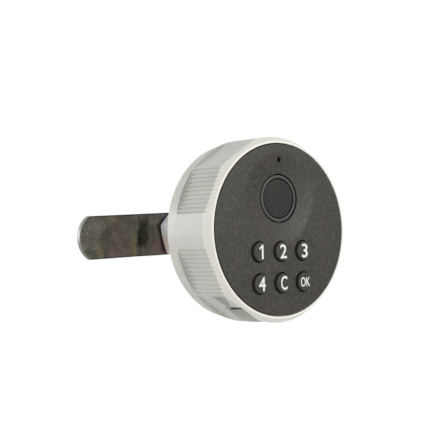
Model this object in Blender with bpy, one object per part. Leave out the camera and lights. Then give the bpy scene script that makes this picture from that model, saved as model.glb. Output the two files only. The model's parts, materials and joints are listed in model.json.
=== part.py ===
"""Fingerprint lock for a cabinet door, built as the pieces it comes apart into.

The lock's axis is Y and its front faces -Y, with +Z at 12 o'clock. The origin lies on the
axis in the door's outer face, where the base plate's rear rim seats. Depths are counted from
the front face of the front plate, and place() turns a depth into a Y coordinate. Angles are
counted round the axis from +X towards +Z.
"""
import math

import bmesh
import bpy
from mathutils import Matrix

MM = 0.001
CLEAR = 0.3 * MM
WELD = 0.001 * MM
OVERRUN = 1.0 * MM

# Knob housing
KNOB_RADIUS = 32.6 * MM
KNOB_LENGTH = 19.2 * MM
KNOB_WALL = 2.3 * MM
KNOB_WEB = 1.6 * MM
RIM_STEP = 1.6 * MM
RIM_LAND = 0.7 * MM
CONE_DEPTH = 2.5 * MM
REAR_FILLET = 1.2 * MM
LEDGE_WIDTH = 1.4 * MM
LEDGE_THICKNESS = 1.5 * MM

# Grips: flat pads on the housing's side
PAD_DEPTH = 1.15 * MM
PAD_REAR_BAND = 1.2 * MM
RIBBED_PAD_TURN = math.radians(26.0)
SMOOTH_PAD_TURN = math.radians(32.0)
GROOVE_PITCH = 1.65 * MM
GROOVE_WIDTH = 0.7 * MM
GROOVE_DEPTH = 0.35 * MM
GROOVES_PER_PAD = 11
GROOVE_RUN_OUT = 0.9 * MM

# Power recess at the foot of the housing, with a finger pocket at each end
PORT_DEPTH = 6.2 * MM
PORT_LENGTH = 9.3 * MM
PORT_SHELF = 1.5 * MM
PORT_FRONT_WALL = 1.0 * MM
SLIT_HEIGHT = 1.2 * MM
SLIT_DEPTH = 3.0 * MM
SLIT_HALF_WIDTH = 14.0 * MM
POCKET_DEPTH = 2.6 * MM
POCKET_WALL = 1.2 * MM
POCKET_HEIGHT = 3.7 * MM
POCKET_FRONT = 3.6 * MM
POCKET_REAR = 10.8 * MM
POCKET_FOOT_FRONT = 7.7 * MM
POCKET_FOOT_REAR = 9.8 * MM

# Front plate
PLATE_THICKNESS = 2.6 * MM
PLATE_LIP = 1.2 * MM
PLATE_CHAMFER = 0.25 * MM
SKIRT_WALL = 1.7 * MM
SKIRT_DEPTH = 5.0 * MM
DISH_RADIUS = 15.5 * MM
DISH_DEPTH = 1.2 * MM

# Fingerprint sensor
SENSOR_Z = 10.9 * MM
SENSOR_GROOVE = 0.5 * MM
BEZEL_RADIUS = 8.2 * MM
BEZEL_WALL = 1.1 * MM
BEZEL_SINK = 0.85 * MM
BEZEL_CHAMFER = 0.15 * MM
BEZEL_FLANGE_WIDTH = 0.9 * MM
BEZEL_FLANGE_THICKNESS = 0.8 * MM
SENSOR_SINK = 1.0 * MM
SENSOR_BOARD_THICKNESS = 0.8 * MM
FLEX_THICKNESS = 0.2 * MM
FLEX_WIDTH = 6.0 * MM
FLEX_LENGTH = 7.0 * MM

# Indicator
INDICATOR_Z = 24.5 * MM
LENS_RADIUS = 0.65 * MM
LENS_SINK = 0.8 * MM
LENS_FLANGE_RADIUS = 1.6 * MM
LENS_FLANGE_THICKNESS = 0.6 * MM
LENS_STEM_RADIUS = 0.9 * MM

# Keys and the rubber mat behind them
KEY_PITCH_X = 10.25 * MM
KEY_PITCH_Z = 11.03 * MM
KEY_TOP_ROW_Z = -7.6 * MM
KEY_RADIUS = 3.4 * MM
KEY_PROUD = 1.0 * MM
KEY_ROUNDING = 0.45 * MM
KEY_FLANGE_WIDTH = 0.9 * MM
KEY_FLANGE_THICKNESS = 0.7 * MM
KEY_TRAVEL = 0.8 * MM
DOME_RADIUS = 3.2 * MM
DOME_TOP_RADIUS = 2.3 * MM
DOME_HEIGHT = 0.8 * MM
MAT_THICKNESS = 0.7 * MM
MAT_MARGIN = 4.4 * MM

# Main board and what is on it
BOARD_THICKNESS = 1.6 * MM
BOARD_EDGE_GAP = 1.4 * MM
BOARD_SCREW_CIRCLE = 24.4 * MM
BOARD_SCREW_ANGLES = (62.0, 218.0, 322.0)
BOARD_POST_RADIUS = 2.6 * MM
BOARD_SCREW_HEAD_RADIUS = 2.0 * MM
BOARD_SCREW_HEAD = 1.2 * MM
BOARD_SCREW_SHANK_RADIUS = 0.8 * MM
BOARD_SCREW_BITE = 2.0 * MM
CHIP_SIZE = 9.0 * MM
CHIP_THICKNESS = 1.2 * MM
CHIP_Z = -13.0 * MM
CHIP_DIMPLE_RADIUS = 0.6 * MM
CHIP_DIMPLE_INSET = 1.4 * MM
CHIP_DIMPLE_DEPTH = 0.15 * MM
BUZZER_RADIUS = 4.5 * MM
BUZZER_HEIGHT = 3.5 * MM
BUZZER_ROUNDING = 0.5 * MM
BUZZER_HOLE_RADIUS = 0.9 * MM
BUZZER_HOLE_DEPTH = 1.5 * MM
BUZZER_Z = 17.6 * MM
SOCKET_WIDTH = 7.8 * MM
SOCKET_HEIGHT = 2.8 * MM
SOCKET_LENGTH = 5.6 * MM
SOCKET_WALL = 0.45 * MM
SOCKET_BORE = 4.4 * MM
SOCKET_TONGUE = 0.7 * MM

# Coin cells and their tray
CELL_RADIUS = 10.0 * MM
CELL_THICKNESS = 3.2 * MM
CELL_STEP = 0.9 * MM
CELL_STEP_DEPTH = 0.3 * MM
CELL_CENTRE_X = 16.8 * MM
CARRIER_WALL = 1.2 * MM
CARRIER_FLOOR = 1.3 * MM
CARRIER_BRIDGE_HALF = 9.0 * MM
CONTACT_THICKNESS = 0.3 * MM
CONTACT_WIDTH = 4.0 * MM
CONTACT_SPAN = 9.0 * MM

# Clutch
CLUTCH_OFFSET = 5.9 * MM
CLUTCH_STROKE = 2.2 * MM
CLUTCH_DISC_RADIUS = 8.6 * MM
CLUTCH_DISC_THICKNESS = 2.0 * MM
CLUTCH_HOLES = 4
PLUNGER_RADIUS = 1.4 * MM
PLUNGER_BORE_RADIUS = 1.0 * MM
PLUNGER_NOSE = 2.5 * MM
PLUNGER_CHAMFER = 0.3 * MM
COIL_RADIUS = 4.2 * MM
BOBBIN_FLANGE = 0.4 * MM
FRAME_THICKNESS = 0.8 * MM
FRAME_HALF_WIDTH = 4.6 * MM
SPRING_RADIUS = 0.65 * MM
SPRING_WIRE_RADIUS = 0.14 * MM
SPRING_TURNS = 6

# Base plate, its boss and the ring that holds the knob on it
BASE_INSET = 1.1 * MM
BASE_WEB = 2.4 * MM
BASE_RIM = 2.0 * MM
BOSS_RADIUS = 11.7 * MM
BOSS_HEAD = 0.8 * MM
BOSS_LIP = 0.3 * MM
RING_THICKNESS = 0.8 * MM
RING_SEAT = 1.1 * MM
RING_WIDTH = 3.1 * MM
RING_GAP = math.radians(50.0)
STOP_RADIUS = 22.0 * MM
STOP_HALF_WIDTH = 1.1 * MM
STOP_HALF_ANGLE = math.radians(4.0)
STOP_HEIGHT = 1.0 * MM
TURN_RANGE = math.radians(90.0)

# Spindle, barrel and nut
SPINDLE_RADIUS = 4.0 * MM
SPINDLE_SQUARE = 6.4 * MM
SPINDLE_INSET = 0.1 * MM
SPINDLE_THREAD_SPARE = 2.5 * MM
BARREL_RADIUS = 7.0 * MM
BARREL_LENGTH = 32.7 * MM
BARREL_CHAMFER = 0.5 * MM
FLANGE_RADIUS = 14.0 * MM
FLANGE_THICKNESS = 1.7 * MM
COLLAR_WALL = 1.7 * MM
BARREL_SCREWS = 3
BARREL_SCREW_CIRCLE = 10.2 * MM
BARREL_SCREW_HEAD_RADIUS = 1.8 * MM
BARREL_SCREW_HEAD = 0.8 * MM
BARREL_SCREW_SHANK_RADIUS = 0.8 * MM
BARREL_SCREW_BITE = 3.0 * MM
NUT_ACROSS_FLATS = 19.0 * MM
NUT_THICKNESS = 3.4 * MM
NUT_CHAMFER = 0.7 * MM
NUT_FACE_INSET = 0.2 * MM
NUT_TO_BARREL_END = 0.5 * MM
NUT_TURN = math.radians(164.5)

# Cam, its washer and its screw
CAM_WIDTH = 16.0 * MM
CAM_THICKNESS = 2.0 * MM
CAM_REACH = 44.6 * MM
CAM_TIP_RADIUS = 9.5 * MM
CAM_CRANK = 2.2 * MM
CAM_CRANK_START = 14.3 * MM
CAM_CRANK_RUN = 2.8 * MM
CAM_BEND_RADIUS = 1.2 * MM
CAM_PLAY_TURN = math.radians(-1.8)
WASHER_RADIUS = 6.0 * MM
WASHER_THICKNESS = 0.8 * MM
CAM_SCREW_HEAD_RADIUS = 3.6 * MM
CAM_SCREW_HEAD = 2.4 * MM
CAM_SCREW_SHANK_RADIUS = 1.7 * MM
CAM_SCREW_BITE = 6.5 * MM

# Cross recess of every screw, as shares of its head
CROSS_REACH = 0.6
CROSS_ARM = 0.14
CROSS_DEPTH = 0.5

# Facets
KNOB_FACETS = 90
BASE_FACETS = 60
PLATE_FACETS = 60
ROUND_FACETS = 36
SMALL_FACETS = 18
ARC_STEPS = 3
SMOOTH_ANGLE = math.radians(32.0)

# Depths and radii worked out from the sizes above
BASE_RADIUS = KNOB_RADIUS - BASE_INSET
BASE_THICKNESS = BASE_WEB + FLANGE_THICKNESS + 2 * CLEAR
DOOR_DEPTH = KNOB_LENGTH + CLEAR + BASE_THICKNESS
PLATE_RADIUS = KNOB_RADIUS - RIM_STEP - RIM_LAND - CLEAR
SKIRT_INNER = PLATE_RADIUS - SKIRT_WALL
KNOB_BORE = KNOB_RADIUS - KNOB_WALL
LEDGE_RADIUS = PLATE_RADIUS + CLEAR - LEDGE_WIDTH
LEDGE_FRONT = SKIRT_DEPTH + CLEAR
WEB_FRONT = KNOB_LENGTH - KNOB_WEB
PORT_CEILING = KNOB_RADIUS - PORT_DEPTH
PORT_FRONT = PLATE_LIP + CLEAR + PORT_FRONT_WALL
PORT_REAR = PORT_FRONT + PORT_LENGTH
SHELF_TOP = PORT_CEILING - PORT_SHELF
INNER_FOOT = SHELF_TOP - CLEAR
POCKET_FLOOR_RADIUS = KNOB_RADIUS - POCKET_DEPTH
POCKET_WALL_RADIUS = POCKET_FLOOR_RADIUS - POCKET_WALL
POCKET_HEAD_ANGLE = math.asin((PORT_CEILING - POCKET_HEIGHT) / KNOB_RADIUS)
POCKET_FOOT_ANGLE = math.asin((PORT_CEILING + OVERRUN) / KNOB_RADIUS)
POCKET_WALL_ANGLE = math.asin((PORT_CEILING - POCKET_HEIGHT - POCKET_WALL) / KNOB_RADIUS)
PLATE_REAR = PLATE_THICKNESS + CLEAR
KEY_REAR = PLATE_REAR + KEY_FLANGE_THICKNESS
DOME_FRONT = KEY_REAR + KEY_TRAVEL + CLEAR
MAT_FRONT = DOME_FRONT + DOME_HEIGHT
MAT_REAR = MAT_FRONT + MAT_THICKNESS
BOARD_FRONT = MAT_REAR + CLEAR
BOARD_REAR = BOARD_FRONT + BOARD_THICKNESS
BOARD_RADIUS = LEDGE_RADIUS - BOARD_EDGE_GAP
BOARD_SCREW_HOLE = BOARD_SCREW_SHANK_RADIUS + CLEAR
PARTS_FRONT = BOARD_REAR + CLEAR
BOARD_SCREW_TIP = BOARD_FRONT - CLEAR - BOARD_SCREW_BITE
SENSOR_HOLE = BEZEL_RADIUS + SENSOR_GROOVE
BEZEL_BORE = BEZEL_RADIUS - BEZEL_WALL
BEZEL_FLANGE_RADIUS = SENSOR_HOLE + BEZEL_FLANGE_WIDTH
BEZEL_REAR = PLATE_REAR + BEZEL_FLANGE_THICKNESS
SENSOR_BOARD_FRONT = BEZEL_REAR + CLEAR
SENSOR_BOARD_REAR = SENSOR_BOARD_FRONT + SENSOR_BOARD_THICKNESS
BASE_FRONT = KNOB_LENGTH + CLEAR
BASE_REAR = BASE_FRONT + BASE_WEB
RING_REAR = WEB_FRONT - CLEAR
RING_FRONT = RING_REAR - RING_THICKNESS
RING_GROOVE_RADIUS = BOSS_RADIUS - RING_SEAT
RING_INNER = RING_GROOVE_RADIUS + CLEAR
RING_OUTER = RING_INNER + RING_WIDTH
BOSS_FRONT = RING_FRONT - CLEAR - BOSS_HEAD
DISC_FRONT = BOSS_FRONT + BOSS_LIP
DISC_REAR = DISC_FRONT + CLUTCH_DISC_THICKNESS
BOSS_POCKET_FLOOR = DISC_REAR + CLEAR
CARRIER_REAR = BOSS_FRONT - CLEAR
CARRIER_FRONT = CARRIER_REAR - CARRIER_FLOOR
CARRIER_FOOT = WEB_FRONT - CLEAR
CARRIER_RELIEF = RING_OUTER + 2 * CLEAR
CELL_REAR = CARRIER_FRONT - CLEAR
CELL_FRONT = CELL_REAR - CELL_THICKNESS
CUP_BORE = CELL_RADIUS + CLEAR
PLUNGER_HOLE = PLUNGER_RADIUS + CLEAR
PLUNGER_TIP = DISC_REAR - CLEAR
COIL_FRONT = PARTS_FRONT + FRAME_THICKNESS + CLEAR
COIL_REAR = CELL_REAR - FRAME_THICKNESS - CLEAR
PLUNGER_FRONT = COIL_FRONT + CLUTCH_STROKE
PLUNGER_BORE_END = PLUNGER_TIP - PLUNGER_NOSE
FLANGE_FRONT = BASE_REAR + CLEAR
FLANGE_REAR = FLANGE_FRONT + FLANGE_THICKNESS
BARREL_SCREW_SEAT = FLANGE_REAR - BARREL_SCREW_HEAD
BARREL_SCREW_TIP = BASE_REAR - BARREL_SCREW_BITE
BARREL_SCREW_HOLE = BARREL_SCREW_SHANK_RADIUS + CLEAR
BARREL_END = DOOR_DEPTH + BARREL_LENGTH
SPINDLE_BORE = SPINDLE_RADIUS + CLEAR
CAM_FRONT = BARREL_END + CLEAR
CAM_REAR = CAM_FRONT + CAM_THICKNESS
SPINDLE_END = CAM_REAR - SPINDLE_INSET
WASHER_FRONT = CAM_REAR + CLEAR
WASHER_REAR = WASHER_FRONT + WASHER_THICKNESS
CAM_SCREW_HOLE = CAM_SCREW_SHANK_RADIUS + CLEAR
CAM_SCREW_TIP = SPINDLE_END - CAM_SCREW_BITE


def place(depth):
    """Y coordinate of a depth behind the front face of the front plate."""
    return depth - DOOR_DEPTH


def polar(radius, angle):
    """Point (x, z) on a circle round the axis."""
    return radius * math.cos(angle), radius * math.sin(angle)


def arc(centre, radius, start, end, steps):
    """Points on an arc from one angle to another, both ends included."""
    turns = [start + (end - start) * step / steps for step in range(steps + 1)]
    return [(centre[0] + radius * math.cos(turn), centre[1] + radius * math.sin(turn)) for turn in turns]


def spin(mesh, profile, facets, ring=True, centre=(0.0, 0.0)):
    """Turns a profile of (radius, depth) points round an axis along Y into one closed body.

    A ring's profile closes on itself. Any other starts and ends on the axis, at flat faces.
    """
    points = [mesh.verts.new((centre[0] + radius, place(depth), centre[1])) for radius, depth in profile]
    edges = [mesh.edges.new(pair) for pair in zip(points, points[1:])]
    if ring:
        edges.append(mesh.edges.new((points[-1], points[0])))
    bmesh.ops.spin(
        mesh, geom=points + edges, cent=(centre[0], 0.0, centre[1]), axis=(0.0, 1.0, 0.0),
        dvec=(0.0, 0.0, 0.0), angle=math.tau, steps=facets, use_merge=True,
    )
    bmesh.ops.remove_doubles(mesh, verts=mesh.verts, dist=WELD)
    if not ring:
        hubs = [vert for vert in mesh.verts
                if math.hypot(vert.co.x - centre[0], vert.co.z - centre[1]) < WELD]
        bmesh.ops.dissolve_verts(mesh, verts=hubs)
    return mesh


def sweep(mesh, corners, step):
    """Extrudes one flat face, given by its corners, along a step."""
    face = mesh.faces.new([mesh.verts.new(corner) for corner in corners])
    grown = bmesh.ops.extrude_face_region(mesh, geom=[face])["geom"]
    moved = [item for item in grown if isinstance(item, bmesh.types.BMVert)]
    bmesh.ops.translate(mesh, verts=moved, vec=step)
    return mesh


def extrude(mesh, outline, front, rear):
    """Extrudes an outline of (x, z) points from one depth to another."""
    return sweep(mesh, [(x, place(front), z) for x, z in outline], (0.0, rear - front, 0.0))


def extrude_up(mesh, outline, half):
    """Extrudes an outline of (x, depth) points to both sides along Z."""
    return sweep(mesh, [(x, place(depth), -half) for x, depth in outline], (0.0, 0.0, 2 * half))


def extrude_aside(mesh, outline, half):
    """Extrudes an outline of (z, depth) points to both sides along X."""
    return sweep(mesh, [(-half, place(depth), z) for z, depth in outline], (2 * half, 0.0, 0.0))


def box(mesh, low_x, high_x, low_z, high_z, front, rear):
    """Adds a box between two x, two z and two depths."""
    outline = [(low_x, low_z), (high_x, low_z), (high_x, high_z), (low_x, high_z)]
    return extrude(mesh, outline, front, rear)


def disc(mesh, radius, front, rear, facets, centre=(0.0, 0.0)):
    """Adds a round bar with its axis along Y."""
    outline = arc(centre, radius, 0.0, math.tau, facets)[:-1]
    return extrude(mesh, outline, front, rear)


def turn_new(mesh, first, angle):
    """Turns the points from the given index on round the lock's axis."""
    mesh.verts.ensure_lookup_table()
    bmesh.ops.rotate(mesh, verts=mesh.verts[first:], cent=(0.0, 0.0, 0.0),
                     matrix=Matrix.Rotation(-angle, 3, "Y"))


def curved_block(mesh, inner, outer, corners, side):
    """Adds a block between two radii, from corners (angle below the horizontal, depth)."""
    rings = []
    for radius in (inner, outer):
        rings.append([
            mesh.verts.new((side * radius * math.cos(angle), place(depth), -radius * math.sin(angle)))
            for angle, depth in corners
        ])
        mesh.faces.new(rings[-1])
    for index in range(len(corners)):
        after = (index + 1) % len(corners)
        mesh.faces.new((rings[0][index], rings[0][after], rings[1][after], rings[1][index]))


def to_mesh_data(name, mesh):
    """Turns a working mesh into mesh data whose faces point outwards."""
    bmesh.ops.recalc_face_normals(mesh, faces=mesh.faces)
    data = bpy.data.meshes.new(name)
    mesh.to_mesh(data)
    mesh.free()
    return data


def finish(material, name, mesh, parent=None, at=(0.0, 0.0), turn=0.0):
    """Makes a named piece of a mesh, with its origin on the axis through (x, z)."""
    data = to_mesh_data(name, mesh)
    data.shade_smooth()
    data.set_sharp_from_angle(angle=SMOOTH_ANGLE)
    data.materials.append(material)
    piece = bpy.data.objects.new(name, data)
    piece.location = (at[0], 0.0, at[1])
    piece.rotation_euler = (0.0, turn, 0.0)
    piece.parent = parent
    bpy.context.scene.collection.objects.link(piece)
    return piece


def combine(piece, mesh, operation, label):
    """Joins a tool shape to a piece, cuts the piece with it or keeps what both share."""
    data = to_mesh_data(piece.name + "_" + label, mesh)
    tool = bpy.data.objects.new(data.name, data)
    tool.location = piece.location
    tool.rotation_euler = piece.rotation_euler
    tool.parent = piece.parent
    tool.hide_render = True
    tool.display_type = "WIRE"
    bpy.context.scene.collection.objects.link(tool)
    modifier = piece.modifiers.new(label, "BOOLEAN")
    modifier.operation = operation
    modifier.solver = "EXACT"
    modifier.object = tool


def cut(piece, mesh, label):
    """Cuts a tool shape out of a piece."""
    combine(piece, mesh, "DIFFERENCE", label)


def join(piece, mesh, label):
    """Unites a tool shape with a piece."""
    combine(piece, mesh, "UNION", label)


def axis_empty(name):
    """Parent empty on the lock's axis."""
    empty = bpy.data.objects.new(name, None)
    bpy.context.scene.collection.objects.link(empty)
    return empty


def make_material(name, colour, roughness, metallic=0.0):
    """Principled material with one colour, roughness and metallic value."""
    material = bpy.data.materials.new(name)
    material.use_nodes = True
    shader = material.node_tree.nodes["Principled BSDF"]
    shader.inputs["Base Color"].default_value = (*colour, 1.0)
    shader.inputs["Roughness"].default_value = roughness
    shader.inputs["Metallic"].default_value = metallic
    return material


def build_materials():
    """Every material of the lock by name."""
    return {
        "housing": make_material("housing_grey", (0.66, 0.65, 0.60), 0.38),
        "base": make_material("base_grey", (0.62, 0.61, 0.57), 0.42),
        "plate": make_material("plate_black", (0.075, 0.068, 0.058), 0.55),
        "key": make_material("key_black", (0.03, 0.03, 0.03), 0.45),
        "sensor": make_material("sensor_black", (0.02, 0.02, 0.02), 0.35),
        "bezel": make_material("bezel_black", (0.035, 0.035, 0.035), 0.3),
        "lens": make_material("lens_smoke", (0.05, 0.05, 0.05), 0.15),
        "rubber": make_material("mat_rubber", (0.18, 0.18, 0.18), 0.8),
        "board": make_material("board_green", (0.02, 0.14, 0.05), 0.5),
        "flex": make_material("ribbon_amber", (0.45, 0.18, 0.03), 0.4),
        "chip": make_material("chip_black", (0.015, 0.015, 0.015), 0.5),
        "tray": make_material("tray_black", (0.04, 0.04, 0.04), 0.5),
        "steel": make_material("bright_steel", (0.60, 0.60, 0.58), 0.3, 1.0),
        "cell": make_material("cell_steel", (0.66, 0.64, 0.60), 0.25, 1.0),
        "brass": make_material("contact_brass", (0.76, 0.55, 0.2), 0.3, 1.0),
        "copper": make_material("coil_copper", (0.6, 0.24, 0.1), 0.35, 1.0),
        "zinc": make_material("plated_zinc", (0.50, 0.46, 0.42), 0.3, 1.0),
        "cam": make_material("plated_cam", (0.11, 0.115, 0.09), 0.35, 1.0),
    }


def pad_tool(mesh, normal):
    """Adds the block that takes a flat pad off the housing, facing the given angle."""
    plane = KNOB_RADIUS - PAD_DEPTH
    half = math.sqrt(KNOB_RADIUS ** 2 - plane ** 2) + OVERRUN
    first = len(mesh.verts)
    box(mesh, plane, KNOB_RADIUS + OVERRUN, -half, half, -OVERRUN, KNOB_LENGTH - PAD_REAR_BAND)
    turn_new(mesh, first, normal)


def groove_tools(mesh, normal):
    """Adds the grooves of one ribbed pad, side by side along the pad."""
    floor = KNOB_RADIUS - PAD_DEPTH - GROOVE_DEPTH
    rear = KNOB_LENGTH - PAD_REAR_BAND - GROOVE_RUN_OUT
    first = len(mesh.verts)
    for index in range(GROOVES_PER_PAD):
        middle = (index - (GROOVES_PER_PAD - 1) / 2) * GROOVE_PITCH
        box(mesh, floor, KNOB_RADIUS + OVERRUN, middle - GROOVE_WIDTH / 2,
            middle + GROOVE_WIDTH / 2, -OVERRUN, rear)
    turn_new(mesh, first, normal)


def stop_sector(half_width, half_angle, front, rear):
    """Curved block at the stop's radius, centred on 12 o'clock."""
    steps = max(2, round(half_angle / math.radians(6.0)))
    middle = math.pi / 2
    outer = arc((0.0, 0.0), STOP_RADIUS + half_width, middle - half_angle, middle + half_angle, steps)
    inner = arc((0.0, 0.0), STOP_RADIUS - half_width, middle + half_angle, middle - half_angle, steps)
    return extrude(bmesh.new(), outer + inner, front, rear)


def join_port_block(shell, inside):
    """Walls of the power recess: a closed foot inside the shell and a wall behind each pocket."""
    half = math.acos(SHELF_TOP / inside)
    foot = arc((0.0, 0.0), inside, -math.pi / 2 - half, -math.pi / 2 + half, 4 * ARC_STEPS)
    block = extrude(bmesh.new(), foot, PORT_FRONT - PORT_FRONT_WALL, WEB_FRONT + KNOB_WEB / 2)
    join(shell, block, "port_block")
    rear = POCKET_REAR + POCKET_WALL
    corners = [(POCKET_WALL_ANGLE, PLATE_REAR), (POCKET_WALL_ANGLE, rear),
               (POCKET_FOOT_ANGLE, rear), (POCKET_FOOT_ANGLE, PLATE_REAR)]
    walls = bmesh.new()
    for side in (-1.0, 1.0):
        curved_block(walls, POCKET_WALL_RADIUS, inside, corners, side)
    join(shell, walls, "pocket_walls")


def cut_port(shell, far):
    """The recess, the slit above its rear wall, the socket's mouth and the finger pockets."""
    cut(shell, box(bmesh.new(), -far, far, -far, -PORT_CEILING, PORT_FRONT, PORT_REAR), "recess")
    cut(shell, box(bmesh.new(), -SLIT_HALF_WIDTH, SLIT_HALF_WIDTH, -PORT_CEILING - SLIT_HEIGHT, -PORT_CEILING,
                   PORT_REAR - OVERRUN, PORT_REAR + SLIT_DEPTH), "slit")
    half = SOCKET_WIDTH / 2 + CLEAR
    cut(shell, box(bmesh.new(), -half, half, -PORT_CEILING - OVERRUN, -SHELF_TOP + OVERRUN,
                   BOARD_REAR, BOARD_REAR + SOCKET_HEIGHT + 2 * CLEAR), "mouth")
    corners = [(POCKET_HEAD_ANGLE, POCKET_FRONT), (POCKET_HEAD_ANGLE, POCKET_REAR),
               (POCKET_FOOT_ANGLE, POCKET_FOOT_REAR), (POCKET_FOOT_ANGLE, POCKET_FOOT_FRONT)]
    pockets = bmesh.new()
    for side in (-1.0, 1.0):
        curved_block(pockets, POCKET_FLOOR_RADIUS, far, corners, side)
    cut(shell, pockets, "pockets")


def cut_grips(shell):
    """Flat ribbed pads beside 3 and 9 o'clock and smooth ones beside 12 and 6 o'clock."""
    ribbed = bmesh.new()
    smooth = bmesh.new()
    grooves = bmesh.new()
    for side in (0.0, math.pi):
        for turn in (-RIBBED_PAD_TURN, RIBBED_PAD_TURN):
            pad_tool(ribbed, side + turn)
            groove_tools(grooves, side + turn)
        for turn in (-SMOOTH_PAD_TURN, SMOOTH_PAD_TURN):
            pad_tool(smooth, side + math.pi / 2 + turn)
    cut(shell, ribbed, "ribbed_pads")
    cut(shell, smooth, "smooth_pads")
    cut(shell, grooves, "grooves")


def build_knob_shell(material, axis):
    """Turned housing with flat ribbed grips, a plate seat, a rear web and the power recess."""
    fillet = arc((KNOB_RADIUS - REAR_FILLET, KNOB_LENGTH - REAR_FILLET), REAR_FILLET, 0.0, math.pi / 2,
                 ARC_STEPS)
    hub = BOSS_RADIUS + CLEAR
    seat = PLATE_RADIUS + CLEAR
    ledge_rear = LEDGE_FRONT + LEDGE_THICKNESS
    profile = [(KNOB_RADIUS - RIM_STEP, 0.0), (KNOB_RADIUS, CONE_DEPTH), *fillet,
               (hub, KNOB_LENGTH), (hub, WEB_FRONT), (KNOB_BORE, WEB_FRONT), (KNOB_BORE, ledge_rear),
               (LEDGE_RADIUS, ledge_rear), (LEDGE_RADIUS, LEDGE_FRONT), (seat, LEDGE_FRONT), (seat, 0.0)]
    shell = finish(material, "knob_shell", spin(bmesh.new(), profile, KNOB_FACETS), axis)
    join_port_block(shell, KNOB_RADIUS - KNOB_WALL / 2)
    lug = stop_sector(STOP_HALF_WIDTH, STOP_HALF_ANGLE, KNOB_LENGTH - KNOB_WEB / 2, BASE_FRONT + STOP_HEIGHT)
    turn_new(lug, 0, TURN_RANGE / 2)
    join(shell, lug, "stop_lug")
    cut_grips(shell)
    cut_port(shell, KNOB_RADIUS + OVERRUN)


def dish_tool():
    """The shallow ball segment that hollows the plate round the sensor."""
    ball = (DISH_RADIUS ** 2 + DISH_DEPTH ** 2) / (2 * DISH_DEPTH)
    centre = DISH_DEPTH - ball
    steps = 2 * ARC_STEPS
    widest = math.acos((-DISH_DEPTH / 8 - centre) / ball)
    curve = arc((0.0, centre), ball, math.pi / 2 - widest, math.pi / 2, steps)
    profile = [(0.0, -OVERRUN), (curve[0][0], -OVERRUN), *curve]
    return spin(bmesh.new(), profile, ROUND_FACETS, False, (0.0, SENSOR_Z))


def key_places():
    """Name and (x, z) of each key, row by row from the top left."""
    names = ("key_1", "key_2", "key_3", "key_4", "key_clear", "key_ok")
    return [(name, ((index % 3 - 1) * KEY_PITCH_X, KEY_TOP_ROW_Z - (index // 3) * KEY_PITCH_Z))
            for index, name in enumerate(names)]


def board_screw_places():
    """Places (x, z) of the screws that hold the main board."""
    return [polar(BOARD_SCREW_CIRCLE, math.radians(angle)) for angle in BOARD_SCREW_ANGLES]


def build_front_plate(material, axis):
    """Plate with a skirt, screw posts, the sensor's dish and holes for keys, sensor and light."""
    profile = [(0.0, 0.0), (PLATE_RADIUS - PLATE_CHAMFER, 0.0), (PLATE_RADIUS, PLATE_CHAMFER),
               (PLATE_RADIUS, SKIRT_DEPTH), (SKIRT_INNER, SKIRT_DEPTH), (SKIRT_INNER, PLATE_THICKNESS),
               (0.0, PLATE_THICKNESS)]
    plate = finish(material, "front_plate", spin(bmesh.new(), profile, PLATE_FACETS, False), axis)

    posts = bmesh.new()
    pilots = bmesh.new()
    for centre in board_screw_places():
        disc(posts, BOARD_POST_RADIUS, PLATE_LIP, BOARD_FRONT - CLEAR, SMALL_FACETS, centre)
        disc(pilots, BOARD_SCREW_HOLE, BOARD_SCREW_TIP - CLEAR, BOARD_FRONT, SMALL_FACETS, centre)
    join(plate, posts, "posts")
    cut(plate, pilots, "pilots")
    cut(plate, dish_tool(), "dish")

    rear = PLATE_THICKNESS + OVERRUN
    holes = disc(bmesh.new(), SENSOR_HOLE, -OVERRUN, rear, ROUND_FACETS, (0.0, SENSOR_Z))
    disc(holes, LENS_RADIUS + CLEAR, -OVERRUN, rear, SMALL_FACETS, (0.0, INDICATOR_Z))
    for _, centre in key_places():
        disc(holes, KEY_RADIUS + CLEAR, -OVERRUN, rear, SMALL_FACETS, centre)
    cut(plate, holes, "holes")

    far = PLATE_RADIUS + OVERRUN
    beyond = SKIRT_DEPTH + OVERRUN
    cut(plate, box(bmesh.new(), -far, far, -far, -INNER_FOOT, PLATE_LIP, beyond), "foot_relief")
    skirt_foot = POCKET_WALL_RADIUS * math.sin(POCKET_WALL_ANGLE) - CLEAR
    cut(plate, box(bmesh.new(), -far, far, -far, -skirt_foot, PLATE_THICKNESS, beyond), "skirt_relief")


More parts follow.
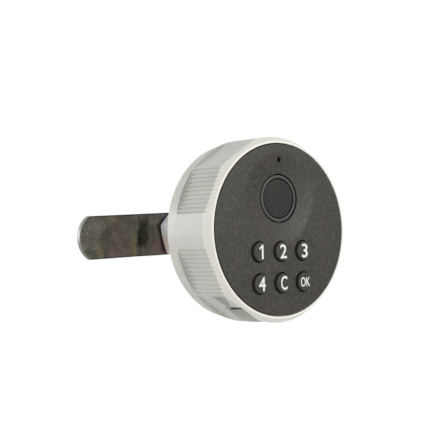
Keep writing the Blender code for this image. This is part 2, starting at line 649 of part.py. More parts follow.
def build_sensor(materials, axis):
    """Bezel ring, sensor disc, round sensor board and the folded ribbon behind it."""
    at = (0.0, SENSOR_Z)
    profile = [(BEZEL_BORE, BEZEL_SINK + BEZEL_CHAMFER), (BEZEL_BORE + BEZEL_CHAMFER, BEZEL_SINK),
               (BEZEL_RADIUS - BEZEL_CHAMFER, BEZEL_SINK), (BEZEL_RADIUS, BEZEL_SINK + BEZEL_CHAMFER),
               (BEZEL_RADIUS, PLATE_REAR), (BEZEL_FLANGE_RADIUS, PLATE_REAR),
               (BEZEL_FLANGE_RADIUS, BEZEL_REAR), (BEZEL_BORE, BEZEL_REAR)]
    finish(materials["bezel"], "sensor_bezel", spin(bmesh.new(), profile, ROUND_FACETS), axis, at)

    radius = BEZEL_BORE - CLEAR
    profile = [(0.0, SENSOR_SINK), (radius - BEZEL_CHAMFER, SENSOR_SINK),
               (radius, SENSOR_SINK + BEZEL_CHAMFER), (radius, BEZEL_REAR), (0.0, BEZEL_REAR)]
    sensor = spin(bmesh.new(), profile, ROUND_FACETS, False)
    finish(materials["sensor"], "fingerprint_sensor", sensor, axis, at)

    board = disc(bmesh.new(), BEZEL_FLANGE_RADIUS, SENSOR_BOARD_FRONT, SENSOR_BOARD_REAR, ROUND_FACETS)
    finish(materials["board"], "sensor_board", board, axis, at)

    front = SENSOR_BOARD_REAR + CLEAR
    rear = BOARD_FRONT - CLEAR
    fold = (FLEX_LENGTH, (front + rear) / 2)
    bend = (rear - front) / 2
    quarter = math.pi / 2
    steps = 2 * ARC_STEPS
    outline = [(0.0, front), *arc(fold, bend, -quarter, quarter, steps), (0.0, rear),
               (0.0, rear - FLEX_THICKNESS), *arc(fold, bend - FLEX_THICKNESS, quarter, -quarter, steps),
               (0.0, front + FLEX_THICKNESS)]
    finish(materials["flex"], "sensor_flex", extrude_up(bmesh.new(), outline, FLEX_WIDTH / 2), axis, at)


def build_indicator(material, axis):
    """Light pipe from the main board to the pinhole in the plate."""
    flange_rear = PLATE_REAR + LENS_FLANGE_THICKNESS
    profile = [(0.0, LENS_SINK), (LENS_RADIUS, LENS_SINK), (LENS_RADIUS, PLATE_REAR),
               (LENS_FLANGE_RADIUS, PLATE_REAR), (LENS_FLANGE_RADIUS, flange_rear),
               (LENS_STEM_RADIUS, flange_rear), (LENS_STEM_RADIUS, BOARD_FRONT - CLEAR),
               (0.0, BOARD_FRONT - CLEAR)]
    lens = spin(bmesh.new(), profile, SMALL_FACETS, False)
    finish(material, "indicator_lens", lens, axis, (0.0, INDICATOR_Z))


def build_keys(material, axis):
    """Six flanged keys, each on its own axis, held behind the plate."""
    edge = arc((KEY_RADIUS - KEY_ROUNDING, KEY_ROUNDING - KEY_PROUD), KEY_ROUNDING, -math.pi / 2, 0.0, 2)
    flange = KEY_RADIUS + KEY_FLANGE_WIDTH
    profile = [(0.0, -KEY_PROUD), *edge, (KEY_RADIUS, PLATE_REAR), (flange, PLATE_REAR),
               (flange, KEY_REAR), (0.0, KEY_REAR)]
    for name, centre in key_places():
        finish(material, name, spin(bmesh.new(), profile, SMALL_FACETS, False), axis, centre)


def build_keypad_mat(material, axis):
    """Rubber sheet with a dome behind each key."""
    half = KEY_PITCH_X + MAT_MARGIN
    top = KEY_TOP_ROW_Z + MAT_MARGIN
    foot = KEY_TOP_ROW_Z - KEY_PITCH_Z - MAT_MARGIN
    mat = finish(material, "keypad_mat", box(bmesh.new(), -half, half, foot, top, MAT_FRONT, MAT_REAR), axis)
    rooted = MAT_FRONT + MAT_THICKNESS / 2
    profile = [(0.0, DOME_FRONT), (DOME_TOP_RADIUS, DOME_FRONT), (DOME_RADIUS, MAT_FRONT),
               (DOME_RADIUS, rooted), (0.0, rooted)]
    domes = bmesh.new()
    for _, centre in key_places():
        spin(domes, profile, SMALL_FACETS, False, centre)
    join(mat, domes, "domes")


def build_main_board(materials, axis):
    """Round board with a flat foot, and the chip and buzzer on its rear face."""
    half = math.acos(INNER_FOOT / BOARD_RADIUS)
    outline = arc((0.0, 0.0), BOARD_RADIUS, half - math.pi / 2, 3 * math.pi / 2 - half, PLATE_FACETS)
    sheet = extrude(bmesh.new(), outline, BOARD_FRONT, BOARD_REAR)
    board = finish(materials["board"], "main_board", sheet, axis)
    holes = bmesh.new()
    for centre in board_screw_places():
        disc(holes, BOARD_SCREW_HOLE, BOARD_FRONT - OVERRUN, BOARD_REAR + OVERRUN, SMALL_FACETS, centre)
    cut(board, holes, "screw_holes")

    half = CHIP_SIZE / 2
    rear = PARTS_FRONT + CHIP_THICKNESS
    chip = finish(materials["chip"], "control_chip",
                  box(bmesh.new(), -half, half, -half, half, PARTS_FRONT, rear), axis, (0.0, CHIP_Z))
    corner = half - CHIP_DIMPLE_INSET
    cut(chip, disc(bmesh.new(), CHIP_DIMPLE_RADIUS, rear - CHIP_DIMPLE_DEPTH, rear + OVERRUN, SMALL_FACETS,
                   (-corner, corner)), "first_pin_dimple")

    rear = PARTS_FRONT + BUZZER_HEIGHT
    hole_floor = rear - BUZZER_HOLE_DEPTH
    profile = [(0.0, PARTS_FRONT), (BUZZER_RADIUS, PARTS_FRONT), (BUZZER_RADIUS, rear - BUZZER_ROUNDING),
               (BUZZER_RADIUS - BUZZER_ROUNDING, rear), (BUZZER_HOLE_RADIUS, rear),
               (BUZZER_HOLE_RADIUS, hole_floor), (0.0, hole_floor)]
    buzzer = spin(bmesh.new(), profile, SMALL_FACETS, False)
    finish(materials["chip"], "buzzer", buzzer, axis, (0.0, BUZZER_Z))


def build_power_socket(material, axis):
    """Flat socket on the board whose mouth opens in the recess at the foot."""
    foot = CLEAR - PORT_CEILING
    half = SOCKET_WIDTH / 2
    rear = PARTS_FRONT + SOCKET_HEIGHT
    body = box(bmesh.new(), -half, half, foot, foot + SOCKET_LENGTH, PARTS_FRONT, rear)
    socket = finish(material, "power_socket", body, axis)
    bore_half = half - SOCKET_WALL
    bore_end = foot + SOCKET_BORE
    cut(socket, box(bmesh.new(), -bore_half, bore_half, foot - OVERRUN, bore_end,
                    PARTS_FRONT + SOCKET_WALL, rear - SOCKET_WALL), "bore")
    middle = (PARTS_FRONT + rear) / 2
    tongue_half = bore_half - SOCKET_WALL
    join(socket, box(bmesh.new(), -tongue_half, tongue_half, foot + SOCKET_WALL, bore_end + SOCKET_WALL,
                     middle - SOCKET_TONGUE / 2, middle + SOCKET_TONGUE / 2), "tongue")


def cross_outline(reach, arm):
    """Outline (x, z) of a cross recess."""
    corners = [(arm, reach), (-arm, reach), (-arm, arm)]
    outline = []
    for _ in range(4):
        outline += corners
        corners = [(-z, x) for x, z in corners]
    return outline


def build_screw(material, name, parent, at, seat, tip, head_radius, head, shank_radius):
    """Round-headed screw whose head stands behind its seat and whose shank points forwards."""
    rounding = head * CROSS_DEPTH / 2
    edge = arc((head_radius - rounding, seat + head - rounding), rounding, math.pi / 2, 0.0, 2)
    point = shank_radius / 2
    profile = [(0.0, seat + head), *edge, (head_radius, seat), (shank_radius, seat),
               (shank_radius, tip + point), (shank_radius - point, tip), (0.0, tip)]
    screw = finish(material, name, spin(bmesh.new(), profile, SMALL_FACETS, False), parent, at)
    outline = cross_outline(head_radius * CROSS_REACH, head_radius * CROSS_ARM)
    cut(screw, extrude(bmesh.new(), outline, seat + head * (1 - CROSS_DEPTH), seat + head + OVERRUN), "cross")


def build_board_screws(material, axis):
    """Screws through the main board into the plate's posts."""
    for index, centre in enumerate(board_screw_places(), 1):
        build_screw(material, f"board_screw_{index}", axis, centre, PARTS_FRONT, BOARD_SCREW_TIP,
                    BOARD_SCREW_HEAD_RADIUS, BOARD_SCREW_HEAD, BOARD_SCREW_SHANK_RADIUS)


def build_carrier(material, axis):
    """Tray with a cup on each side, relieved behind for the hub and bored for the plunger."""
    bridge = box(bmesh.new(), -CELL_CENTRE_X, CELL_CENTRE_X, -CARRIER_BRIDGE_HALF, CARRIER_BRIDGE_HALF,
                 CARRIER_FRONT, CARRIER_REAR)
    carrier = finish(material, "battery_carrier", bridge, axis)
    cups = bmesh.new()
    pockets = bmesh.new()
    undersides = bmesh.new()
    for x in (-CELL_CENTRE_X, CELL_CENTRE_X):
        disc(cups, CUP_BORE + CARRIER_WALL, PARTS_FRONT, CARRIER_FOOT, ROUND_FACETS, (x, 0.0))
        disc(pockets, CUP_BORE, PARTS_FRONT - OVERRUN, CARRIER_FRONT, ROUND_FACETS, (x, 0.0))
        disc(undersides, CUP_BORE, CARRIER_REAR, CARRIER_FOOT + OVERRUN, ROUND_FACETS, (x, 0.0))
    join(carrier, cups, "cups")
    cut(carrier, pockets, "cell_pockets")
    cut(carrier, undersides, "undersides")
    cut(carrier, disc(bmesh.new(), CARRIER_RELIEF, CARRIER_REAR, CARRIER_FOOT + OVERRUN, ROUND_FACETS),
        "hub_relief")
    cut(carrier, disc(bmesh.new(), PLUNGER_HOLE, CARRIER_FRONT - OVERRUN, CARRIER_REAR + OVERRUN,
                      SMALL_FACETS, (0.0, CLUTCH_OFFSET)), "plunger_hole")


def contact_outline():
    """Outline (x, depth) of a bowed strip that stands on the board and reaches for the cell."""
    tip = CELL_FRONT - CLEAR
    rise = tip - PARTS_FRONT
    half_span = CONTACT_SPAN / 2
    bow = (half_span ** 2 + rise ** 2) / (2 * rise)
    top = math.pi / 2
    outer = math.acos((bow - rise) / bow)
    inner = math.acos((bow - rise) / (bow - CONTACT_THICKNESS))
    centre = (0.0, tip - bow)
    steps = 2 * ARC_STEPS
    return [*arc(centre, bow, top + outer, top - outer, steps),
            *arc(centre, bow - CONTACT_THICKNESS, top - inner, top + inner, steps)]


def build_cells(materials, axis):
    """A coin cell in each cup and its contact."""
    step = CELL_RADIUS - CELL_STEP
    shoulder = CELL_FRONT + CELL_STEP_DEPTH
    profile = [(0.0, CELL_FRONT), (step, CELL_FRONT), (step, shoulder), (CELL_RADIUS, shoulder),
               (CELL_RADIUS, CELL_REAR), (0.0, CELL_REAR)]
    for side, x in (("left", -CELL_CENTRE_X), ("right", CELL_CENTRE_X)):
        cell = spin(bmesh.new(), profile, ROUND_FACETS, False)
        finish(materials["cell"], "coin_cell_" + side, cell, axis, (x, 0.0))
        strip = extrude_up(bmesh.new(), contact_outline(), CONTACT_WIDTH / 2)
        finish(materials["brass"], "cell_contact_" + side, strip, axis, (x, 0.0))


def build_clutch(materials, axis):
    """Solenoid frame and coil, the sprung plunger and the spring in its bore."""
    at = (0.0, CLUTCH_OFFSET)
    under = COIL_RADIUS + CLEAR
    top = under + FRAME_THICKNESS
    front_inner = PARTS_FRONT + FRAME_THICKNESS
    rear_inner = CELL_REAR - FRAME_THICKNESS
    outline = [(-FRAME_HALF_WIDTH, PARTS_FRONT), (top, PARTS_FRONT), (top, CELL_REAR),
               (-FRAME_HALF_WIDTH, CELL_REAR), (-FRAME_HALF_WIDTH, rear_inner), (under, rear_inner),
               (under, front_inner), (-FRAME_HALF_WIDTH, front_inner)]
    frame = finish(materials["steel"], "solenoid_frame",
                   extrude_aside(bmesh.new(), outline, FRAME_HALF_WIDTH), axis, at)
    cut(frame, disc(bmesh.new(), PLUNGER_HOLE, rear_inner - CLEAR, CELL_REAR + OVERRUN, SMALL_FACETS),
        "plunger_hole")

    wound = COIL_RADIUS - BOBBIN_FLANGE
    front = COIL_FRONT + BOBBIN_FLANGE
    rear = COIL_REAR - BOBBIN_FLANGE
    profile = [(PLUNGER_HOLE, COIL_FRONT), (COIL_RADIUS, COIL_FRONT), (COIL_RADIUS, front), (wound, front),
               (wound, rear), (COIL_RADIUS, rear), (COIL_RADIUS, COIL_REAR), (PLUNGER_HOLE, COIL_REAR)]
    finish(materials["copper"], "solenoid_coil", spin(bmesh.new(), profile, SMALL_FACETS), axis, at)

    profile = [(0.0, PLUNGER_BORE_END), (PLUNGER_BORE_RADIUS, PLUNGER_BORE_END),
               (PLUNGER_BORE_RADIUS, PLUNGER_FRONT), (PLUNGER_RADIUS, PLUNGER_FRONT),
               (PLUNGER_RADIUS, PLUNGER_TIP - PLUNGER_CHAMFER),
               (PLUNGER_RADIUS - PLUNGER_CHAMFER, PLUNGER_TIP), (0.0, PLUNGER_TIP)]
    plunger = spin(bmesh.new(), profile, SMALL_FACETS, False)
    finish(materials["steel"], "clutch_plunger", plunger, axis, at)
    build_return_spring(materials["steel"], axis, at)


def build_return_spring(material, axis, at):
    """Coil spring between the solenoid frame and the end of the plunger's bore."""
    start = COIL_FRONT + SPRING_WIRE_RADIUS
    end = PLUNGER_BORE_END - CLEAR - SPRING_WIRE_RADIUS
    count = SPRING_TURNS * 2 * ARC_STEPS
    curve = bpy.data.curves.new("return_spring", "CURVE")
    curve.dimensions = "3D"
    curve.bevel_depth = SPRING_WIRE_RADIUS
    curve.bevel_resolution = 1
    curve.use_fill_caps = True
    curve.materials.append(material)
    wire = curve.splines.new("POLY")
    wire.points.add(count)
    for index, point in enumerate(wire.points):
        share = index / count
        x, z = polar(SPRING_RADIUS, math.tau * SPRING_TURNS * share)
        point.co = (x, place(start + (end - start) * share), z, 1.0)
    spring = bpy.data.objects.new("return_spring", curve)
    spring.location = (at[0], 0.0, at[1])
    spring.parent = axis
    bpy.context.scene.collection.objects.link(spring)


def build_base_plate(material):
    """Fixed base: rim and flange collar behind, boss, ring groove and stop track in front."""
    rim = BASE_RADIUS - BASE_RIM
    collar = FLANGE_RADIUS + CLEAR
    collar_outer = collar + COLLAR_WALL
    pocket = CLUTCH_DISC_RADIUS + CLEAR
    groove_front = RING_FRONT - CLEAR
    profile = [(SPINDLE_BORE, BOSS_POCKET_FLOOR), (pocket, BOSS_POCKET_FLOOR), (pocket, BOSS_FRONT),
               (BOSS_RADIUS, BOSS_FRONT), (BOSS_RADIUS, groove_front), (RING_GROOVE_RADIUS, groove_front),
               (RING_GROOVE_RADIUS, WEB_FRONT), (BOSS_RADIUS, WEB_FRONT), (BOSS_RADIUS, BASE_FRONT),
               (BASE_RADIUS, BASE_FRONT), (BASE_RADIUS, DOOR_DEPTH), (rim, DOOR_DEPTH), (rim, BASE_REAR),
               (collar_outer, BASE_REAR), (collar_outer, DOOR_DEPTH), (collar, DOOR_DEPTH),
               (collar, BASE_REAR), (SPINDLE_BORE, BASE_REAR)]
    base = finish(material, "base_plate", spin(bmesh.new(), profile, BASE_FACETS))

    end_gap = CLEAR / (STOP_RADIUS - STOP_HALF_WIDTH)
    hollows = stop_sector(STOP_HALF_WIDTH + CLEAR, TURN_RANGE / 2 + STOP_HALF_ANGLE + end_gap,
                          BASE_FRONT - OVERRUN, BASE_FRONT + STOP_HEIGHT + CLEAR)
    for centre in barrel_screw_places():
        disc(hollows, BARREL_SCREW_HOLE, BARREL_SCREW_TIP - CLEAR, BASE_REAR + OVERRUN, SMALL_FACETS, centre)
    cut(base, hollows, "stop_track_and_pilots")


def barrel_screw_places():
    """Places (x, z) of the screws that hold the barrel's flange."""
    return [polar(BARREL_SCREW_CIRCLE, math.pi / 2 + math.tau * index / BARREL_SCREWS)
            for index in range(BARREL_SCREWS)]


def build_retaining_ring(material):
    """Open ring in the boss's groove, in front of the knob's web."""
    start = (RING_GAP - math.pi) / 2
    end = start + math.tau - RING_GAP
    outline = [*arc((0.0, 0.0), RING_OUTER, start, end, ROUND_FACETS),
               *arc((0.0, 0.0), RING_INNER, end, start, ROUND_FACETS)]
    finish(material, "retaining_ring", extrude(bmesh.new(), outline, RING_FRONT, RING_REAR))


def build_barrel(materials):
    """Flanged barrel through the door, and the screws that hold its flange."""
    profile = [(SPINDLE_BORE, FLANGE_FRONT), (FLANGE_RADIUS, FLANGE_FRONT), (FLANGE_RADIUS, FLANGE_REAR),
               (BARREL_RADIUS, FLANGE_REAR), (BARREL_RADIUS, BARREL_END - BARREL_CHAMFER),
               (BARREL_RADIUS - BARREL_CHAMFER, BARREL_END), (SPINDLE_BORE, BARREL_END)]
    barrel = finish(materials["zinc"], "barrel", spin(bmesh.new(), profile, ROUND_FACETS))
    holes = bmesh.new()
    sinks = bmesh.new()
    for index, centre in enumerate(barrel_screw_places(), 1):
        disc(holes, BARREL_SCREW_HOLE, FLANGE_FRONT - OVERRUN, FLANGE_REAR + OVERRUN, SMALL_FACETS, centre)
        disc(sinks, BARREL_SCREW_HEAD_RADIUS + CLEAR, BARREL_SCREW_SEAT - CLEAR, FLANGE_REAR + OVERRUN,
             SMALL_FACETS, centre)
        build_screw(materials["steel"], f"barrel_screw_{index}", None, centre, BARREL_SCREW_SEAT,
                    BARREL_SCREW_TIP, BARREL_SCREW_HEAD_RADIUS, BARREL_SCREW_HEAD, BARREL_SCREW_SHANK_RADIUS)
    cut(barrel, holes, "screw_holes")
    cut(barrel, sinks, "screw_sinks")


def build_nut(material):
    """Hexagon nut with chamfered corners at the barrel's rear end."""
    rear = BARREL_END - NUT_TO_BARREL_END
    front = rear - NUT_THICKNESS
    corner = NUT_ACROSS_FLATS / 2 / math.cos(math.pi / 6)
    hexagon = arc((0.0, 0.0), corner, 0.0, math.tau, 6)[:-1]
    nut = finish(material, "mounting_nut", extrude(bmesh.new(), hexagon, front, rear), turn=-NUT_TURN)
    face = NUT_ACROSS_FLATS / 2 - NUT_FACE_INSET
    girth = corner + OVERRUN
    rise = NUT_CHAMFER * (girth - face) / (corner - face)
    turned = [(0.0, front), (face, front), (girth, front + rise),
              (girth, rear - rise), (face, rear), (0.0, rear)]
    combine(nut, spin(bmesh.new(), turned, ROUND_FACETS, False), "INTERSECT", "chamfers")
    bore = disc(bmesh.new(), BARREL_RADIUS + CLEAR, front - OVERRUN, rear + OVERRUN, ROUND_FACETS)
    cut(nut, bore, "bore")


def build_spindle(material, axis):
    """Clutch disc, shaft and squared end in one turned piece, tapped for the cam's screw."""
    tap_floor = CAM_SCREW_TIP - SPINDLE_THREAD_SPARE
    profile = [(0.0, DISC_FRONT), (CLUTCH_DISC_RADIUS, DISC_FRONT), (CLUTCH_DISC_RADIUS, DISC_REAR),
               (SPINDLE_RADIUS, DISC_REAR), (SPINDLE_RADIUS, SPINDLE_END), (CAM_SCREW_HOLE, SPINDLE_END),
               (CAM_SCREW_HOLE, tap_floor), (0.0, tap_floor)]
    spindle = finish(material, "spindle", spin(bmesh.new(), profile, ROUND_FACETS, False), axis)
    flats = bmesh.new()
    far = SPINDLE_RADIUS + OVERRUN
    for quarter in range(4):
        first = len(flats.verts)
        box(flats, SPINDLE_SQUARE / 2, far, -SPINDLE_SQUARE / 2, SPINDLE_SQUARE / 2,
            BARREL_END, SPINDLE_END + OVERRUN)
        turn_new(flats, first, quarter * math.pi / 2)
    cut(spindle, flats, "flats")
    holes = bmesh.new()
    for index in range(CLUTCH_HOLES):
        centre = polar(CLUTCH_OFFSET, math.pi / 2 + math.tau * index / CLUTCH_HOLES)
        disc(holes, PLUNGER_HOLE, DISC_FRONT - OVERRUN, DISC_REAR + OVERRUN, SMALL_FACETS, centre)
    cut(spindle, holes, "clutch_holes")


def squared_circle(half, radius):
    """Outline (x, z) of a square whose corners are cut back to a circle."""
    reach = math.acos(min(half / radius, 1.0))
    outline = []
    for quarter in range(4):
        turn = quarter * math.pi / 2
        outline += arc((0.0, 0.0), radius, turn + reach, turn + math.pi / 2 - reach, 2)
    return outline


def cam_profile():
    """Outline (x, depth) of the cranked bar seen from above."""
    crank_end = CAM_CRANK_START + CAM_CRANK_RUN
    mitre = CAM_THICKNESS * math.tan(math.atan2(CAM_CRANK, CAM_CRANK_RUN) / 2)
    root = CAM_WIDTH / 2 + OVERRUN
    tip = CAM_REACH + OVERRUN
    front = [(root, CAM_FRONT), (-CAM_CRANK_START, CAM_FRONT), (-crank_end, CAM_FRONT + CAM_CRANK),
             (-tip, CAM_FRONT + CAM_CRANK)]
    rear = [(-tip, CAM_REAR + CAM_CRANK), (mitre - crank_end, CAM_REAR + CAM_CRANK),
            (mitre - CAM_CRANK_START, CAM_REAR), (root, CAM_REAR)]
    return front + rear, front[1:3] + rear[1:3]


def round_crank(mesh, bends):
    """Rounds the crank's edges, each outer bend round its inner one."""
    half_turn = math.atan2(CAM_CRANK, CAM_CRANK_RUN) / 2
    radii = (CAM_BEND_RADIUS + CAM_THICKNESS, CAM_BEND_RADIUS) * 2
    for (x, depth), radius in zip(bends, radii):
        edges = [edge for edge in mesh.edges if all(
            abs(vert.co.x - x) < WELD and abs(vert.co.y - place(depth)) < WELD for vert in edge.verts)]
        bmesh.ops.bevel(mesh, geom=edges, offset=radius * math.tan(half_turn), offset_type="OFFSET",
                        segments=ARC_STEPS, profile=0.5, affect="EDGES")


def build_cam(materials, axis):
    """Cranked cam on the spindle's square, its washer and its screw."""
    outline, bends = cam_profile()
    bar = extrude_up(bmesh.new(), outline, CAM_WIDTH / 2 + OVERRUN)
    round_crank(bar, bends)
    cam = finish(materials["cam"], "cam", bar, axis, turn=CAM_PLAY_TURN)
    half = CAM_WIDTH / 2
    quarter = math.pi / 2
    spread = math.asin(half / CAM_TIP_RADIUS)
    tip = (CAM_TIP_RADIUS - CAM_REACH, 0.0)
    steps = 4 * ARC_STEPS
    plan = [*arc((0.0, 0.0), half, -quarter, quarter, steps),
            *arc(tip, CAM_TIP_RADIUS, math.pi - spread, math.pi + spread, steps)]
    prism = extrude(bmesh.new(), plan, CAM_FRONT - OVERRUN, CAM_REAR + CAM_CRANK + OVERRUN)
    combine(cam, prism, "INTERSECT", "plan")
    hole = squared_circle(SPINDLE_SQUARE / 2 + CLEAR, SPINDLE_BORE)
    cut(cam, extrude(bmesh.new(), hole, CAM_FRONT - OVERRUN, CAM_REAR + OVERRUN), "square_hole")

    profile = [(CAM_SCREW_HOLE, WASHER_FRONT), (WASHER_RADIUS, WASHER_FRONT),
               (WASHER_RADIUS, WASHER_REAR), (CAM_SCREW_HOLE, WASHER_REAR)]
    finish(materials["zinc"], "cam_washer", spin(bmesh.new(), profile, ROUND_FACETS), axis)
    build_screw(materials["steel"], "cam_screw", axis, (0.0, 0.0), WASHER_REAR + CLEAR, CAM_SCREW_TIP,
                CAM_SCREW_HEAD_RADIUS, CAM_SCREW_HEAD, CAM_SCREW_SHANK_RADIUS)


def build_lock():
    """Builds every piece of the lock."""
    materials = build_materials()
    knob_axis = axis_empty("knob_axis")
    spindle_axis = axis_empty("spindle_axis")
    build_base_plate(materials["base"])
    build_barrel(materials)
    build_nut(materials["zinc"])
    build_retaining_ring(materials["steel"])
    build_spindle(materials["zinc"], spindle_axis)
    build_cam(materials, spindle_axis)
    build_knob_shell(materials["housing"], knob_axis)
    build_front_plate(materials["plate"], knob_axis)
    build_sensor(materials, knob_axis)
    build_indicator(materials["lens"], knob_axis)
    build_keys(materials["key"], knob_axis)
    build_keypad_mat(materials["rubber"], knob_axis)
    build_main_board(materials, knob_axis)
    build_power_socket(materials["steel"], knob_axis)
    build_board_screws(materials["steel"], knob_axis)
    build_carrier(materials["tray"], knob_axis)
    build_cells(materials, knob_axis)
    build_clutch(materials, knob_axis)


for item in list(bpy.data.objects):
    bpy.data.objects.remove(item, do_unlink=True)
build_lock()
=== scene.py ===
"""Looks of a fingerprint lock for a cabinet door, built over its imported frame.

Sizes and the meshes on the bench are in millimetres, and a finished piece is brought to metres.
A depth runs back from the front plate's face, and a turn is counted in degrees from 3 o'clock,
anticlockwise as seen from the front.
"""

import json
import logging
import math
from collections.abc import Callable, Iterator, Sequence
from contextlib import contextmanager
from dataclasses import dataclass
from enum import Enum

import bmesh
import bpy
from mathutils import Matrix, Vector

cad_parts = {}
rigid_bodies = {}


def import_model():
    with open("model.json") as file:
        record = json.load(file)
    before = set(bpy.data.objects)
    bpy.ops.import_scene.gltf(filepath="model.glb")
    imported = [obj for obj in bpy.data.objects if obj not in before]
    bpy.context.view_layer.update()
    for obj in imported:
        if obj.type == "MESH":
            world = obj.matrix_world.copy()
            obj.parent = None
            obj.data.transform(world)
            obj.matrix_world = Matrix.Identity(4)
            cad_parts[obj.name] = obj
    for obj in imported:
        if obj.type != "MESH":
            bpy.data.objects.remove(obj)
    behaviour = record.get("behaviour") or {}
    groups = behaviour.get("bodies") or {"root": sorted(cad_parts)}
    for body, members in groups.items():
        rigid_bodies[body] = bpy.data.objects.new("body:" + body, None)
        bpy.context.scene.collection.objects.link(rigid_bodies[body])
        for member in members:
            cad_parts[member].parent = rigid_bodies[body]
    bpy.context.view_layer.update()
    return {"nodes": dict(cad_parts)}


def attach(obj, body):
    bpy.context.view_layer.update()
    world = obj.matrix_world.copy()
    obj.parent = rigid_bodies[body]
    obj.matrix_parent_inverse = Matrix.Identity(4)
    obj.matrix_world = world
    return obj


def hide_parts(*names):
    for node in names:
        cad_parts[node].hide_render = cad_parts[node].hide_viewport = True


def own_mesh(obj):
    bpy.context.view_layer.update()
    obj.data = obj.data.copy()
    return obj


for leftover in list(bpy.data.objects):
    bpy.data.objects.remove(leftover, do_unlink=True)
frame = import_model()

MM = 0.001
DOOR_DEPTH = 24.2
FACETS = 240
WELD = 0.001
KEY_PITCH = 10.25
KEY_ROW_PITCH = 11.03
KEY_TOP_ROW = -7.6
SCREW_CIRCLE = 10.2
PILOT = 1.1
WHITE = (1.0, 1.0, 1.0, 1.0)
LOG = logging.getLogger("lock")

Place = tuple[float, float]
Span = tuple[float, float]
Profile = Sequence[Place]
Tone = tuple[int, int, int]
Pick = Callable[[float, float, float], bool]


def spot(x: float, depth: float, z: float) -> Vector:
    """Point of the frame in millimetres, from a place across, back and up."""
    return Vector((x, depth - DOOR_DEPTH, z))


def around(radius: float, turn: float) -> Place:
    """Place (x, z) on a circle round the lock's axis."""
    return radius * math.cos(math.radians(turn)), radius * math.sin(math.radians(turn))


def rounded(centre: Place, radius: float, start: float, end: float, steps: int = 5) -> list[Place]:
    """Points of a rounded corner in a turned profile.

    Args:
        centre: Middle of the rounding as (radius, depth).
        radius: Radius of the rounding.
        start: First angle in degrees, 0 outwards and 90 backwards.
        end: Last angle in degrees.
        steps: Number of straight pieces.

    Returns:
        Points as (radius, depth).
    """
    turns = [math.radians(start + (end - start) * step / steps) for step in range(steps + 1)]
    return [(centre[0] + radius * math.cos(turn), centre[1] + radius * math.sin(turn)) for turn in turns]


def key_places() -> dict[str, Place]:
    """Place (x, z) of each key by its node's name."""
    names = ("key_1", "key_2", "key_3", "key_4", "key_clear", "key_ok")
    return {name: ((index % 3 - 1) * KEY_PITCH, KEY_TOP_ROW - (index // 3) * KEY_ROW_PITCH)
            for index, name in enumerate(names)}


def screw_places() -> list[Place]:
    """Places (x, z) of the three screws that join the barrel to the base."""
    return [around(SCREW_CIRCLE, 90.0 + 120.0 * index) for index in range(3)]


class Join(Enum):
    """How a tool shape acts on a piece."""

    CUT = "DIFFERENCE"
    ADD = "UNION"
    KEEP = "INTERSECT"


class Marks(Enum):
    """Which way the fine marks of a metal run."""

    TURNED = "turned"
    ROLLED = "rolled"
    TUMBLED = "tumbled"


